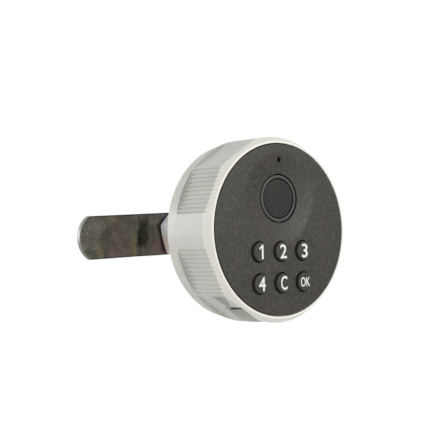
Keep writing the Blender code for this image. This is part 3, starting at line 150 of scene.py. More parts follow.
class Work:
    """A mesh on the bench, shaped by hand from a primitive."""

    def __init__(self, name: str) -> None:
        """Takes up the object just added and settles its place in its mesh.

        Args:
            name: The piece's name.
        """
        self.piece = bpy.context.active_object
        self.piece.name = self.piece.data.name = name
        self.settle()

    @staticmethod
    def turned(name: str, profile: Profile, facets: int = FACETS, centre: Place = (0.0, 0.0),
               solid: bool = False) -> "Work":
        """Draws a circle out along a profile, ring by ring.

        Args:
            name: The piece's name.
            profile: Points as (radius, depth), in order.
            facets: Faces round the piece.
            centre: Place (x, z) of its axis.
            solid: Whether both ends are closed discs. Otherwise the profile closes on itself.

        Returns:
            The turned piece.
        """
        bpy.ops.object.select_all(action="DESELECT")
        radius, depth = profile[0]
        bpy.ops.mesh.primitive_circle_add(
            vertices=facets, radius=radius, fill_type="NGON" if solid else "NOTHING",
            location=spot(centre[0], depth, centre[1]), rotation=(math.pi / 2, 0.0, 0.0))
        work = Work(name)
        with work.editing():
            for here, there in zip(profile, profile[1:] if solid else [*profile[1:], profile[0]]):
                bpy.ops.mesh.extrude_region_move(
                    TRANSFORM_OT_translate={"value": (0.0, there[1] - here[1], 0.0)})
                if there[0] != here[0]:
                    share = there[0] / here[0]
                    bpy.ops.transform.resize(value=(share, 1.0, share),
                                             center_override=spot(centre[0], there[1], centre[1]))
            work.even_out()
        return work

    @staticmethod
    def rod(name: str, radius: float, depths: Span, facets: int = 48, centre: Place = (0.0, 0.0)) -> "Work":
        """Draws a plain closed cylinder.

        Args:
            name: The piece's name.
            radius: Its radius.
            depths: Depth of its front and of its rear.
            facets: Faces round the piece.
            centre: Place (x, z) of its axis.

        Returns:
            The cylinder.
        """
        return Work.turned(name, [(radius, depth) for depth in depths], facets, centre, solid=True)

    @staticmethod
    def block(name: str, low: Sequence[float], high: Sequence[float]) -> "Work":
        """Adds a block between two corners, each (x, depth, z)."""
        bpy.ops.object.select_all(action="DESELECT")
        near, far = spot(*low), spot(*high)
        bpy.ops.mesh.primitive_cube_add(size=1.0, location=(near + far) / 2, scale=far - near)
        return Work(name)

    @staticmethod
    def sector(name: str, radii: Span, depths: Span, turns: Span, facets: int = FACETS) -> "Work":
        """Turns a square-edged ring and keeps what lies between two turns.

        Args:
            name: The piece's name.
            radii: Its inner and outer radius.
            depths: Depth of its front and of its rear.
            turns: Where it starts and where it ends, less than half a turn on.
            facets: Faces of the whole ring.

        Returns:
            The closed sector.
        """
        (inner, outer), (front, rear) = radii, depths
        work = Work.turned(name, [(inner, front), (outer, front), (outer, rear), (inner, rear)], facets)
        for turn, way in zip(turns, (1.0, -1.0)):
            x, z = around(way, turn)
            work.trim((0.0, 0.0, 0.0), (z, 0.0, -x))
        return work

    def take_up(self) -> None:
        """Makes this piece the only selected one."""
        bpy.ops.object.select_all(action="DESELECT")
        self.piece.select_set(True)
        bpy.context.view_layer.objects.active = self.piece

    def settle(self) -> None:
        """Moves the piece's place, turn and scale into its mesh."""
        self.take_up()
        bpy.ops.object.transform_apply(location=True, rotation=True, scale=True)

    @contextmanager
    def editing(self, pick: Pick | None = None) -> Iterator[None]:
        """Opens the mesh in edit mode.

        Args:
            pick: Tells from (x, depth, z) which points are selected. Without it, all are.

        Yields:
            Nothing, while the mesh is open.
        """
        self.take_up()
        bpy.ops.object.mode_set(mode="EDIT")
        bpy.ops.mesh.select_mode(type="VERT")
        bpy.ops.mesh.select_all(action="DESELECT" if pick else "SELECT")
        if pick:
            mesh = bmesh.from_edit_mesh(self.piece.data)
            for point in mesh.verts:
                point.select_set(pick(point.co.x, point.co.y + DOOR_DEPTH, point.co.z))
            mesh.select_flush(True)
            bmesh.update_edit_mesh(self.piece.data)
        yield
        bpy.ops.object.mode_set(mode="OBJECT")

    def even_out(self) -> None:
        """Merges doubled points and turns the faces outwards, in edit mode."""
        bpy.ops.mesh.select_all(action="SELECT")
        bpy.ops.mesh.remove_doubles(threshold=WELD)
        bpy.ops.mesh.normals_make_consistent(inside=False)

    def trim(self, point: Sequence[float], normal: Sequence[float]) -> "Work":
        """Cuts off what lies beyond a plane and closes the cut.

        Args:
            point: A point of the plane as (x, depth, z).
            normal: Which way the cut-off part lies.

        Returns:
            The piece itself.
        """
        with self.editing():
            bpy.ops.mesh.bisect(plane_co=spot(*point), plane_no=normal, use_fill=True, clear_outer=True)
            self.even_out()
        return self

    def shifted(self, pick: Pick, step: Sequence[float]) -> "Work":
        """Moves the picked points by a step of (x, back, z)."""
        with self.editing(pick):
            bpy.ops.transform.translate(value=step)
        return self

    def apply(self, kind: str, **settings: object) -> "Work":
        """Adds one modifier with its settings and applies it."""
        self.take_up()
        modifier = self.piece.modifiers.new(kind.lower(), kind)
        for setting, value in settings.items():
            setattr(modifier, setting, value)
        bpy.ops.object.modifier_apply(modifier=modifier.name)
        return self

    def join(self, how: Join, *tools: "Work") -> "Work":
        """Cuts the piece with tool shapes, adds them or keeps what is shared."""
        for tool in tools:
            self.apply("BOOLEAN", operation=how.value, solver="EXACT", object=tool.piece)
            bpy.data.meshes.remove(tool.piece.data)
            with self.editing():
                bpy.ops.mesh.remove_doubles(threshold=WELD)
        return self

    def softened(self, width: float, segments: int = 2, limit: float = 30.0) -> "Work":
        """Rounds every edge sharper than a limit."""
        return self.apply("BEVEL", width=width, segments=segments, limit_method="ANGLE",
                          angle_limit=math.radians(limit))

    def repeated(self, count: int, step: Sequence[float]) -> "Work":
        """Repeats the piece along a step of (x, back, z)."""
        return self.apply("ARRAY", count=count, use_relative_offset=False, use_constant_offset=True,
                          constant_offset_displace=step)

    def copied(self, name: str) -> "Work":
        """A copy with its own mesh."""
        self.take_up()
        bpy.ops.object.duplicate()
        return Work(name)

    def swung(self, turn: float) -> "Work":
        """Turns the piece round the lock's axis."""
        self.piece.rotation_euler = (0.0, -math.radians(turn), 0.0)
        self.settle()
        return self

    def mirrored(self) -> "Work":
        """Swaps left and right."""
        self.piece.scale = (-1.0, 1.0, 1.0)
        self.settle()
        with self.editing():
            self.even_out()
        return self

    def dress(self, finish: "Finish", body: str, *nodes: str, crease: float = 30.0) -> bpy.types.Object:
        """Brings the piece to metres, smooths and paints it and hands it over to its body.

        Args:
            finish: The surface it gets.
            body: The body it rides on.
            nodes: The nodes of the frame it stands for.
            crease: Edges sharper than this many degrees stay sharp.

        Returns:
            The finished object.
        """
        self.piece.scale = (MM, MM, MM)
        self.settle()
        bpy.ops.object.shade_smooth_by_angle(angle=math.radians(crease))
        self.apply("WEIGHTED_NORMAL", keep_sharp=True)
        self.piece.data.materials.clear()
        self.piece.data.materials.append(finish.material())
        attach(self.piece, body)
        if nodes:
            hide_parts(*nodes)
        return self.piece


class Wire:
    """A shader socket that takes part in arithmetic."""

    def __init__(self, paint: "Paint", socket: bpy.types.NodeSocket) -> None:
        """Wraps an output socket of a material."""
        self.paint = paint
        self.socket = socket

    def __add__(self, other: "Wire | float") -> "Wire":
        """Sum."""
        return self.paint.sum_up("ADD", self, other)

    __radd__ = __add__

    def __sub__(self, other: "Wire | float") -> "Wire":
        """Difference."""
        return self.paint.sum_up("SUBTRACT", self, other)

    def __rsub__(self, other: float) -> "Wire":
        """Difference from a number."""
        return self.paint.sum_up("SUBTRACT", other, self)

    def __mul__(self, other: "Wire | float") -> "Wire":
        """Product."""
        return self.paint.sum_up("MULTIPLY", self, other)

    __rmul__ = __mul__

    def __truediv__(self, other: "Wire | float") -> "Wire":
        """Quotient."""
        return self.paint.sum_up("DIVIDE", self, other)

    def __pow__(self, other: float) -> "Wire":
        """Power."""
        return self.paint.sum_up("POWER", self, other)

    def __abs__(self) -> "Wire":
        """Value without its sign."""
        return self.paint.sum_up("ABSOLUTE", self, 0.0)


class Paint:
    """A material under work: the shader and what feeds it."""

    def __init__(self, name: str) -> None:
        """Starts a material whose patterns are laid out in millimetres."""
        self.material = bpy.data.materials.new(name)
        self.material.use_nodes = True
        self.tree = self.material.node_tree
        self.shader = self.tree.nodes["Principled BSDF"]
        metres = self.add("ShaderNodeTexCoord", output="Object")
        self.place = self.add("ShaderNodeMapping", values={"Vector": metres, "Scale": (1 / MM,) * 3})

    def add(self, kind: str, settings: dict[str, object] | None = None,
            values: dict[str | int, object] | None = None, output: str | int = 0) -> Wire:
        """Adds any node.

        Args:
            kind: The node's type.
            settings: Its settings, set first.
            values: Values or wires of its sockets.
            output: Which output goes on.

        Returns:
            The wire from that output.
        """
        node = self.tree.nodes.new(kind)
        for setting, value in (settings or {}).items():
            setattr(node, setting, value)
        for socket, value in (values or {}).items():
            self.feed(node.inputs[socket], value)
        return Wire(self, node.outputs[output])

    def feed(self, socket: bpy.types.NodeSocket, value: object) -> None:
        """Links a wire to a socket, or sets its value."""
        if isinstance(value, Wire):
            self.tree.links.new(value.socket, socket)
        else:
            socket.default_value = value

    def set(self, **values: object) -> None:
        """Sets or feeds the shader's sockets, named with _ for a space."""
        for name, value in values.items():
            self.feed(self.shader.inputs[name.replace("_", " ")], value)

    def sum_up(self, operation: str, first: Wire | float, second: Wire | float) -> Wire:
        """Adds a Math node on two values."""
        return self.add("ShaderNodeMath", {"operation": operation}, {0: first, 1: second})

    def axis(self, index: int) -> Wire:
        """Coordinate along X, Y or Z in millimetres."""
        return self.add("ShaderNodeSeparateXYZ", values={0: self.place}, output=index)

    def radius(self, second: int = 2) -> Wire:
        """Distance from the lock's axis, or from an upright one with 1, in millimetres."""
        across, other = self.axis(0), self.axis(second)
        return (across * across + other * other) ** 0.5

    def noise(self, size: float, detail: float = 2.0, where: Wire | None = None,
              stretch: Sequence[float] = (1.0, 1.0, 1.0)) -> Wire:
        """Cloudy pattern from 0 to 1.

        Args:
            size: Size of a cloud in millimetres.
            detail: How many finer layers it has.
            where: Coordinates, if not the piece's own.
            stretch: Factor on each coordinate.

        Returns:
            The pattern's value.
        """
        spread = self.add("ShaderNodeVectorMath", {"operation": "MULTIPLY"},
                          {0: where or self.place, 1: stretch})
        return self.add("ShaderNodeTexNoise", values={"Vector": spread, "Scale": 1 / size, "Detail": detail})

    def specks(self, size: float) -> Wire:
        """Random value from 0 to 1 in each cell of a grain."""
        cells = self.add("ShaderNodeTexVoronoi", values={"Vector": self.place, "Scale": 1 / size},
                         output="Color")
        return self.add("ShaderNodeSeparateColor", values={0: cells})

    def ramp(self, value: Wire, low: float, high: float) -> Wire:
        """Smooth rise from 0 at low to 1 at high."""
        return self.add("ShaderNodeMapRange", {"interpolation_type": "SMOOTHSTEP"},
                        {"Value": value, "From Min": low, "From Max": high})

    def band(self, value: Wire, middle: float, half: float) -> Wire:
        """Bump of 1 at the middle that falls to 0 at half a width to each side."""
        return self.ramp(value, middle - half, middle) * (1 - self.ramp(value, middle, middle + half))

    def mix(self, mask: Wire | float, under: object, over: object) -> Wire:
        """Mixes two colours."""
        return self.add("ShaderNodeMix", {"data_type": "RGBA"}, {0: mask, 6: under, 7: over}, output=2)

    def relief(self, height: Wire, depth: float) -> Wire:
        """Surface normal raised by a height from 0 to 1, of a depth in millimetres."""
        return self.add("ShaderNodeBump", values={"Distance": depth * MM, "Height": height})


def colour(tone: Tone) -> tuple[float, float, float, float]:
    """Linear colour of a tone as it is seen, 0 to 255 each."""
    parts = [part / 255 for part in tone]
    linear = [part / 12.92 if part <= 0.04045 else ((part + 0.055) / 1.055) ** 2.4 for part in parts]
    return (*linear, 1.0)


@dataclass(frozen=True)
class Finish:
    """Even finish with soft patches of a second tone and a fine grain."""

    name: str
    slot: str
    tone: Tone
    second: Tone
    patch: float = 9.0
    roughness: float = 0.45
    spread: float = 0.08
    metallic: float = 0.0
    specular: float = 0.5
    coat: float = 0.0
    grain: float = 0.35
    depth: float = 0.004

    def material(self) -> bpy.types.Material:
        """The material, made once."""
        known = bpy.data.materials.get(self.name)
        if known:
            return known
        paint = Paint(self.name)
        height = self.height(paint)
        paint.set(Metallic=self.metallic, Specular_IOR_Level=self.specular, Coat_Weight=self.coat,
                  Coat_Roughness=0.2, Base_Color=self.tones(paint), Roughness=self.gloss(paint),
                  Normal=paint.relief(height, self.depth))
        return paint.material

    def tones(self, paint: Paint) -> Wire:
        """Colour over the surface."""
        patches = paint.ramp(paint.noise(self.patch, 3.0), 0.35, 0.65)
        return paint.mix(patches, colour(self.tone), colour(self.second))

    def gloss(self, paint: Paint) -> Wire:
        """Roughness over the surface."""
        return paint.noise(self.patch / 4, 3.0) * (2 * self.spread) + (self.roughness - self.spread)

    def height(self, paint: Paint) -> Wire:
        """Height of the grain."""
        return paint.noise(self.grain, 2.0)


@dataclass(frozen=True)
class Rimmed(Finish):
    """Light moulding that is painted paler towards its front rim, as a highlight where the light falls."""

    # Tone of the painted highlight on the rim.
    rim_highlight: Tone = (244, 242, 232)
    cone: Span = (2.6, 3.6)
    face: Span = (0.12, 0.45)

    def tones(self, paint: Paint) -> Wire:
        """Painted highlight: paler on the cone and palest on the rim's face."""
        depth = paint.axis(1) + DOOR_DEPTH
        cone, face = 1 - paint.ramp(depth, *self.cone), 1 - paint.ramp(depth, *self.face)
        # Painted highlight on the front cone and rim face, mixed over the moulding's own tones.
        return paint.mix(cone * 0.8 + face * 0.2, super().tones(paint), colour(self.rim_highlight))


@dataclass(frozen=True)
class Speckled(Finish):
    """Black moulding with fine sparkling specks."""

    speck: Tone = (98, 93, 84)

    def tones(self, paint: Paint) -> Wire:
        """Soft patches under a grain whose cells are each a little paler or darker."""
        lit = paint.specks(self.grain) * paint.ramp(paint.noise(self.grain * 3, 2.0), 0.35, 0.7)
        return paint.mix(lit * 0.5, super().tones(paint), colour(self.speck))

    def height(self, paint: Paint) -> Wire:
        """Uneven grain, a step in each cell."""
        return paint.specks(self.grain) * 0.6 + paint.noise(self.grain, 2.0) * 0.4


@dataclass(frozen=True)
class Metal(Finish):
    """Bare or plated metal with fine marks."""

    marks: Marks = Marks.TUMBLED
    third: Tone = (160, 164, 168)

    def tones(self, paint: Paint) -> Wire:
        """Two tones in patches, with a third one in fewer."""
        few = paint.ramp(paint.noise(self.patch * 1.7, 2.0, stretch=(1.0, 0.6, 1.0)), 0.52, 0.68)
        return paint.mix(few, super().tones(paint), colour(self.third))

    def height(self, paint: Paint) -> Wire:
        """Fine marks left by turning, rolling or tumbling."""
        if self.marks is Marks.TURNED:
            lathe = paint.add("ShaderNodeCombineXYZ", values={0: paint.radius(), 1: paint.axis(1)})
            return paint.noise(self.grain, 1.0, where=lathe)
        if self.marks is Marks.ROLLED:
            return paint.noise(self.grain, 2.0, stretch=(0.06, 1.0, 1.0))
        return paint.noise(self.grain * 2, 3.0)


@dataclass(frozen=True)
class CamPlating(Metal):
    """Dark passivated plating: green, purple and straw clouds along the cam, with a painted dark reflection
    across the crank and a painted highlight on the end.
    """

    crank: float = -16.8
    root: float = -9.0
    tip: Place = (-35.08, -1.1)
    side_tone: Tone = (44, 42, 38)
    # Tone of the painted highlight on the cam's end edge.
    end_highlight_tone: Tone = (150, 148, 144)
    purple_tone: Tone = (146, 122, 122)
    straw_tone: Tone = (172, 160, 122)
    root_tone: Tone = (126, 120, 136)
    yellow_tone: Tone = (176, 164, 118)
    # Tone of the painted dark reflection across the crank.
    crank_reflection_tone: Tone = (34, 33, 29)
    pale_tone: Tone = (180, 188, 172)
    fleck_tone: Tone = (70, 72, 60)

    def edges(self, paint: Paint, clouds: Wire) -> Wire:
        """Adds the dark lines along the sides and the end edge, painted bright as a highlight, to the
        clouds.
        """
        centre_line = self.tip[1] / self.tip[0]
        across = abs(paint.axis(2) - paint.axis(0) * centre_line)
        dark = paint.mix(paint.ramp(across, 7.3, 7.75) * 0.6, clouds, colour(self.side_tone))
        x, z = paint.axis(0) - self.tip[0], paint.axis(2) - self.tip[1]
        # Painted highlight on the cam's end edge.
        end = paint.ramp((x * x + z * z) ** 0.5, 9.3, 9.42) * (1 - paint.ramp(paint.axis(0), -37.5, -36.5))
        return paint.mix(end, dark, colour(self.end_highlight_tone))

    def painted_crank_reflection(self, paint: Paint) -> Wire:
        """Mask of the painted dark reflection across the crank, weaker towards the cam's sides."""
        bent = paint.axis(0) + (paint.noise(5.0, 2.0) - 0.5) * 2.5
        band = paint.ramp(bent, self.crank - 2.4, self.crank - 0.8)
        band = band * (1 - paint.ramp(bent, self.crank + 0.8, self.crank + 2.4))
        return band * (0.96 - paint.ramp(abs(paint.axis(2)), 3.0, 7.0) * 0.3)

    def tones(self, paint: Paint) -> Wire:
        """Clouds of the plating's colours, with a painted dark reflection at the crank, bluer at the root.
        """
        along = paint.axis(0) + (paint.noise(7.0, 2.0) - 0.5) * 7.0
        purple = paint.ramp(paint.noise(6.5, 3.0, stretch=(0.7, 1.0, 0.45)), 0.46, 0.66)
        straw = paint.ramp(paint.noise(4.5, 3.0, stretch=(0.8, 1.0, 0.5)), 0.60, 0.74)
        root = paint.ramp(along, self.root - 3.0, self.root + 2.0)
        low = 1 - paint.ramp(paint.axis(2), -4.0, 2.0)
        yellow = paint.band(along, self.crank - 3.6, 2.0) * low
        near_tip = 1 - paint.ramp(paint.axis(0), -38.0, -29.0)
        pale = paint.ramp(paint.noise(0.5, 3.0), 0.52, 0.66) * near_tip
        flecks = paint.ramp(paint.noise(0.6, 3.0), 0.45, 0.62) * paint.ramp(paint.noise(6.0, 1.0), 0.4, 0.6)
        clouds = super().tones(paint)
        # The crank band mixed in here is a painted dark reflection, not a colour of the plating.
        for mask, tone in ((purple * 0.8, self.purple_tone), (straw * 0.5, self.straw_tone),
                           (root * 0.7, self.root_tone), (yellow * 0.6, self.yellow_tone),
                           (self.painted_crank_reflection(paint), self.crank_reflection_tone), (pale * 0.5, self.pale_tone),
                           (flecks * 0.55, self.fleck_tone)):
            clouds = paint.mix(mask, clouds, colour(tone))
        return self.edges(paint, clouds)


@dataclass(frozen=True)
class Wound(Finish):
    """Enamelled wire wound side by side."""

    wire: float = 0.22

    def height(self, paint: Paint) -> Wire:
        """Round turns of wire side by side."""
        turn = paint.sum_up("PINGPONG", paint.axis(1), self.wire / 2) / (self.wire / 2)
        return (turn * (2.0 - turn)) ** 0.5


@dataclass(frozen=True)
class Tracked(Finish):
    """Circuit board: lacquer with paler tracks under it."""

    track: Tone = (52, 112, 62)

    def lines(self, paint: Paint) -> Wire:
        """Mask of the tracks."""
        across = paint.sum_up("PINGPONG", paint.axis(0) + paint.noise(9.0, 0.0) * 6.0, 0.55)
        up = paint.sum_up("PINGPONG", paint.axis(2) + paint.noise(8.0, 0.0) * 5.0, 0.8)
        region = paint.ramp(paint.noise(6.0, 1.0), 0.48, 0.5)
        first, second = 1 - paint.ramp(across, 0.16, 0.2), 1 - paint.ramp(up, 0.18, 0.22)
        return first * region + second * (1 - region)

    def tones(self, paint: Paint) -> Wire:
        """Lacquer with paler tracks."""
        return paint.mix(self.lines(paint), super().tones(paint), colour(self.track))

    def height(self, paint: Paint) -> Wire:
        """The tracks stand a little proud."""
        return self.lines(paint)


HOUSING = Rimmed("satin_grey", "housing", (206, 206, 198), (199, 199, 191), patch=16.0, roughness=0.42,
                 coat=0.12, grain=0.4, depth=0.006)
BASE = Finish("satin_grey_base", "base", (212, 211, 202), (204, 203, 195), patch=12.0, roughness=0.4,
              coat=0.15, grain=0.4, depth=0.006)
PLATE = Speckled("speckled_black", "plate", (46, 42, 35), (39, 36, 31), patch=12.0, roughness=0.36,
                 spread=0.06, specular=0.32, grain=0.34, depth=0.02)
KEY = Speckled("key_black", "key", (44, 42, 36), (38, 36, 32), patch=3.0, roughness=0.42, specular=0.32,
               grain=0.3, depth=0.012)
LEGEND = Finish("legend_white", "key", (240, 240, 236), (230, 230, 226), patch=1.2, roughness=0.55,
                grain=0.2, depth=0.004)
SENSOR = Finish("sensor_glaze", "sensor", (34, 33, 27), (29, 28, 24), patch=5.0, roughness=0.26, spread=0.03,
                specular=0.24, grain=0.5, depth=0.0008)
BEZEL = Finish("bezel_black", "bezel", (58, 56, 52), (48, 47, 45), patch=4.0, roughness=0.36, specular=0.4,
               coat=0.1, grain=0.3, depth=0.005)
LENS = Finish("smoked_lens", "lens", (9, 9, 9), (6, 6, 6), roughness=0.5, specular=0.05)
RUBBER = Finish("silicone_grey", "rubber", (112, 112, 110), (98, 98, 97), patch=6.0, roughness=0.75,
                grain=0.25, depth=0.01)
BOARD = Tracked("board_green", "board", (24, 84, 40), (18, 72, 34), patch=20.0, roughness=0.38, coat=0.3,
                depth=0.03)
FLEX = Tracked("ribbon_amber", "flex", (150, 92, 34), (138, 82, 30), patch=8.0, roughness=0.35, depth=0.02,
               track=(186, 124, 62))
CHIP = Finish("chip_black", "chip", (40, 40, 42), (32, 32, 34), patch=3.0, roughness=0.55, grain=0.2,
              depth=0.012)
TRAY = Finish("tray_black", "tray", (50, 50, 50), (42, 42, 43), patch=8.0, roughness=0.5, grain=0.3,
              depth=0.012)
STEEL = Metal("bright_steel", "steel", (196, 196, 194), (176, 176, 175), patch=4.0, roughness=0.3,
              metallic=1.0, grain=0.12, depth=0.003, marks=Marks.TURNED)
CELL = Metal("cell_steel", "cell", (206, 204, 198), (190, 188, 184), patch=5.0, roughness=0.28,
             metallic=1.0, grain=0.15, depth=0.002, marks=Marks.TURNED)
BRASS = Metal("contact_brass", "brass", (214, 182, 108), (198, 164, 92), patch=3.0, roughness=0.3,
              metallic=1.0, grain=0.12, depth=0.003, marks=Marks.ROLLED, third=(176, 138, 76))
COPPER = Wound("wound_copper", "copper", (176, 96, 56), (158, 80, 46), patch=3.0, roughness=0.35,
               metallic=0.8, depth=0.08)
ZINC = Metal("plated_zinc", "zinc", (240, 232, 222), (224, 200, 182), patch=4.5, roughness=0.36,
             metallic=0.25, grain=0.3, depth=0.001, third=(230, 238, 242))
BARREL = Metal("plated_barrel", "zinc", (206, 204, 200), (196, 193, 188), patch=6.0, roughness=0.32,
               metallic=0.8, grain=0.3, depth=0.001, third=(200, 202, 204))
CAM = CamPlating("passivated_cam", "cam", (128, 124, 114), (102, 102, 92), patch=5.0, roughness=0.42,
                 metallic=1.0, grain=0.2, depth=0.002, marks=Marks.ROLLED, third=(138, 132, 124))
FINISHES = (HOUSING, BASE, PLATE, KEY, SENSOR, BEZEL, LENS, RUBBER, BOARD, FLEX, CHIP, TRAY, STEEL, CELL,
            BRASS, COPPER, ZINC, CAM)


@dataclass
class Screw:
    """Round-headed screw with a cross recess, its point towards the front."""

    name: str
    body: str
    centre: Place
    seat: float
    tip: float
    head_radius: float
    head: float
    shank: float
    flat: float = 0.3
    cross_reach: float = 0.6
    cross_arm: float = 0.14
    cross_taper: float = 0.8

    def build(self) -> bpy.types.Object:
        """Turns the screw, cuts its cross and dresses it."""
        x, z = self.centre
        rear, edge = self.seat + self.head, self.head / 3
        profile = [(self.head_radius * self.flat, rear),
                   *rounded((self.head_radius - edge, rear - edge), edge, 90, 0),
                   (self.head_radius, self.seat), (self.shank, self.seat),
                   (self.shank, self.tip + self.shank / 2), (self.shank / 2, self.tip)]
        work = Work.turned(self.name + "_turned", profile, 96, self.centre, solid=True)
        reach, arm = self.head_radius * self.cross_reach, self.head_radius * self.cross_arm
        for half_x, half_z in ((reach, arm), (arm, reach)):
            slot = Work.block("slot", (x - half_x, rear - self.head / 2, z - half_z),
                              (x + half_x, rear + 1.0, z + half_z))
            with slot.editing(lambda across, depth, up: depth < rear):
                bpy.ops.transform.resize(value=(self.cross_taper, 1.0, self.cross_taper),
                                         center_override=spot(x, rear, z))
            work.join(Join.CUT, slot)
        return work.dress(STEEL, self.body, self.name)


@dataclass
class Housing:
    """Housing that is turned by hand: flat grips, ribs and the power recess at its foot."""

    radius: float = 32.6
    length: float = 19.2
    rim: float = 31.0
    seat: float = 30.3
    cone: float = 2.5
    fillet: float = 1.2
    bore: float = 12.0
    rear_wall: float = 17.6
    ledge: float = 28.9
    ledge_depths: Span = (5.3, 6.8)
    pad_plane: float = 31.45
    pad_end: float = 18.0
    ribbed_turn: float = 26.0
    plain_turn: float = 32.0
    rib_pitch: float = 1.65
    ribs: int = 11
    groove_floor: float = 31.1
    groove_end: float = 17.1
    groove_half: float = 0.24
    ceiling: float = -26.4
    recess: Span = (2.5, 11.8)
    foot_radius: float = 31.45
    foot_depths: Span = (1.5, 18.4)
    foot_top: float = -24.9
    lug_radii: Span = (20.9, 23.1)
    lug_depths: Span = (18.4, 20.5)
    lug_turns: Span = (131.0, 139.0)
    wall_radii: Span = (28.8, 31.2)
    wall_depths: Span = (2.9, 12.0)
    wall_turns: Span = (221.3, 237.2)
    pocket_floor: float = 30.0
    pocket_depths: Span = (3.6, 10.8)
    pocket_turns: Span = (224.1, 237.6)
    pocket_tapers: Span = (0.573, 0.14)
    slit_half: float = 14.0
    slit_depths: Span = (10.8, 14.8)
    mouth_half: float = 4.2
    mouth_depths: Span = (8.1, 11.5)
    mouth_top: float = -23.9

    def profile(self) -> list[Place]:
        """Profile of the turned body with its rounded rim and edges."""
        rise = (self.radius - self.rim) / self.cone
        back = self.radius - self.fillet
        front, rear = self.ledge_depths
        return [
            (self.seat, front), (self.seat, 0.25), (self.seat + 0.05, 0.1), (self.seat + 0.15, 0.02),
            (self.seat + 0.3, 0.0), (self.rim - 0.2, 0.0), (self.rim - 0.06, 0.03), (self.rim + 0.08, 0.15),
            (self.rim + 0.35 * rise, 0.35), (self.rim + 2.1 * rise, 2.1), (self.rim + 2.35 * rise, 2.36),
            (self.radius - 0.04, 2.62), (self.radius, 2.95),
            *rounded((back, self.length - self.fillet), self.fillet, 0, 90, 8),
            (self.bore + 0.25, self.length), (self.bore + 0.05, self.length - 0.06),
            (self.bore, self.length - 0.25), (self.bore, self.rear_wall),
            (self.seat, self.rear_wall), (self.seat, rear), (self.ledge, rear), (self.ledge, front)]

    def inner_walls(self) -> list[Work]:
        """Foot block, the walls behind the finger pockets and the stop lug."""
        foot = Work.rod("foot", self.foot_radius, self.foot_depths, FACETS)
        foot.trim((0.0, 0.0, self.foot_top), (0.0, 0.0, 1.0))
        left = Work.sector("pocket_wall", self.wall_radii, self.wall_depths, self.wall_turns)
        lug = Work.sector("lug", self.lug_radii, self.lug_depths, self.lug_turns)
        return [foot, left.copied("pocket_wall_right").mirrored(), left, lug]

    def grips(self) -> list[Work]:
        """Tools for the flat pads, and for the grooves of the ribbed ones."""
        half = math.sqrt(self.radius ** 2 - self.pad_plane ** 2) + 1.0
        pad = Work.block("pad", (self.pad_plane, -1.0, -half), (self.radius + 1.0, self.pad_end, half))
        first = -(self.ribs - 1) / 2 * self.rib_pitch
        groove = Work.block("groove", (self.groove_floor, -1.0, first - self.groove_half),
                            (self.pad_plane + 0.15, self.groove_end, first + self.groove_half))
        with groove.editing(lambda x, depth, z: x > self.pad_plane):
            bpy.ops.transform.resize(value=(1.0, 1.0, 2.0), center_override=spot(0.0, 0.0, first))
        groove.repeated(self.ribs, (0.0, 0.0, self.rib_pitch))
        ribbed = [side + turn for side in (0.0, 180.0) for turn in (-self.ribbed_turn, self.ribbed_turn)]
        plain = [side + turn for side in (90.0, 270.0) for turn in (-self.plain_turn, self.plain_turn)]
        pads = [pad.copied("pad_copy").swung(turn) for turn in ribbed + plain]
        grooves = [groove.copied("groove_copy").swung(turn) for turn in ribbed]
        for tool in (pad, groove):
            bpy.data.meshes.remove(tool.piece.data)
        return pads + grooves

    def port(self) -> list[Work]:
        """Tools for the recess, the slit in its rear wall, the socket's mouth and the finger pockets."""
        far = self.radius + 1.0
        recess = Work.block("recess", (-far, self.recess[0], -far), (far, self.recess[1], self.ceiling))
        recess.softened(0.25)
        slit = Work.block("slit", (-self.slit_half, self.slit_depths[0], self.ceiling - 1.2),
                          (self.slit_half, self.slit_depths[1], self.ceiling))
        mouth = Work.block("mouth", (-self.mouth_half, self.mouth_depths[0], self.ceiling - 1.0),
                           (self.mouth_half, self.mouth_depths[1], self.mouth_top))
        mouth.softened(0.5, 3)
        left = Work.sector("pocket", (self.pocket_floor, far), self.pocket_depths, self.pocket_turns, 90)
        head = around(31.3, self.pocket_turns[0])
        x, z = around(1.0, 230.6)
        for depth, taper, way in zip(self.pocket_depths, self.pocket_tapers, (-1.0, 1.0)):
            left.trim((head[0], depth, head[1]), (-z * taper, way, x * taper))
        left.softened(0.35, 3)
        return [recess, slit, mouth, left.copied("pocket_right").mirrored(), left]

    def build(self) -> list[bpy.types.Object]:
        """Builds and dresses the housing."""
        shell = Work.turned("housing", self.profile())
        shell.join(Join.ADD, *self.inner_walls())
        shell.join(Join.CUT, *self.grips(), *self.port())
        return [shell.dress(HOUSING, "knob", "knob_shell")]


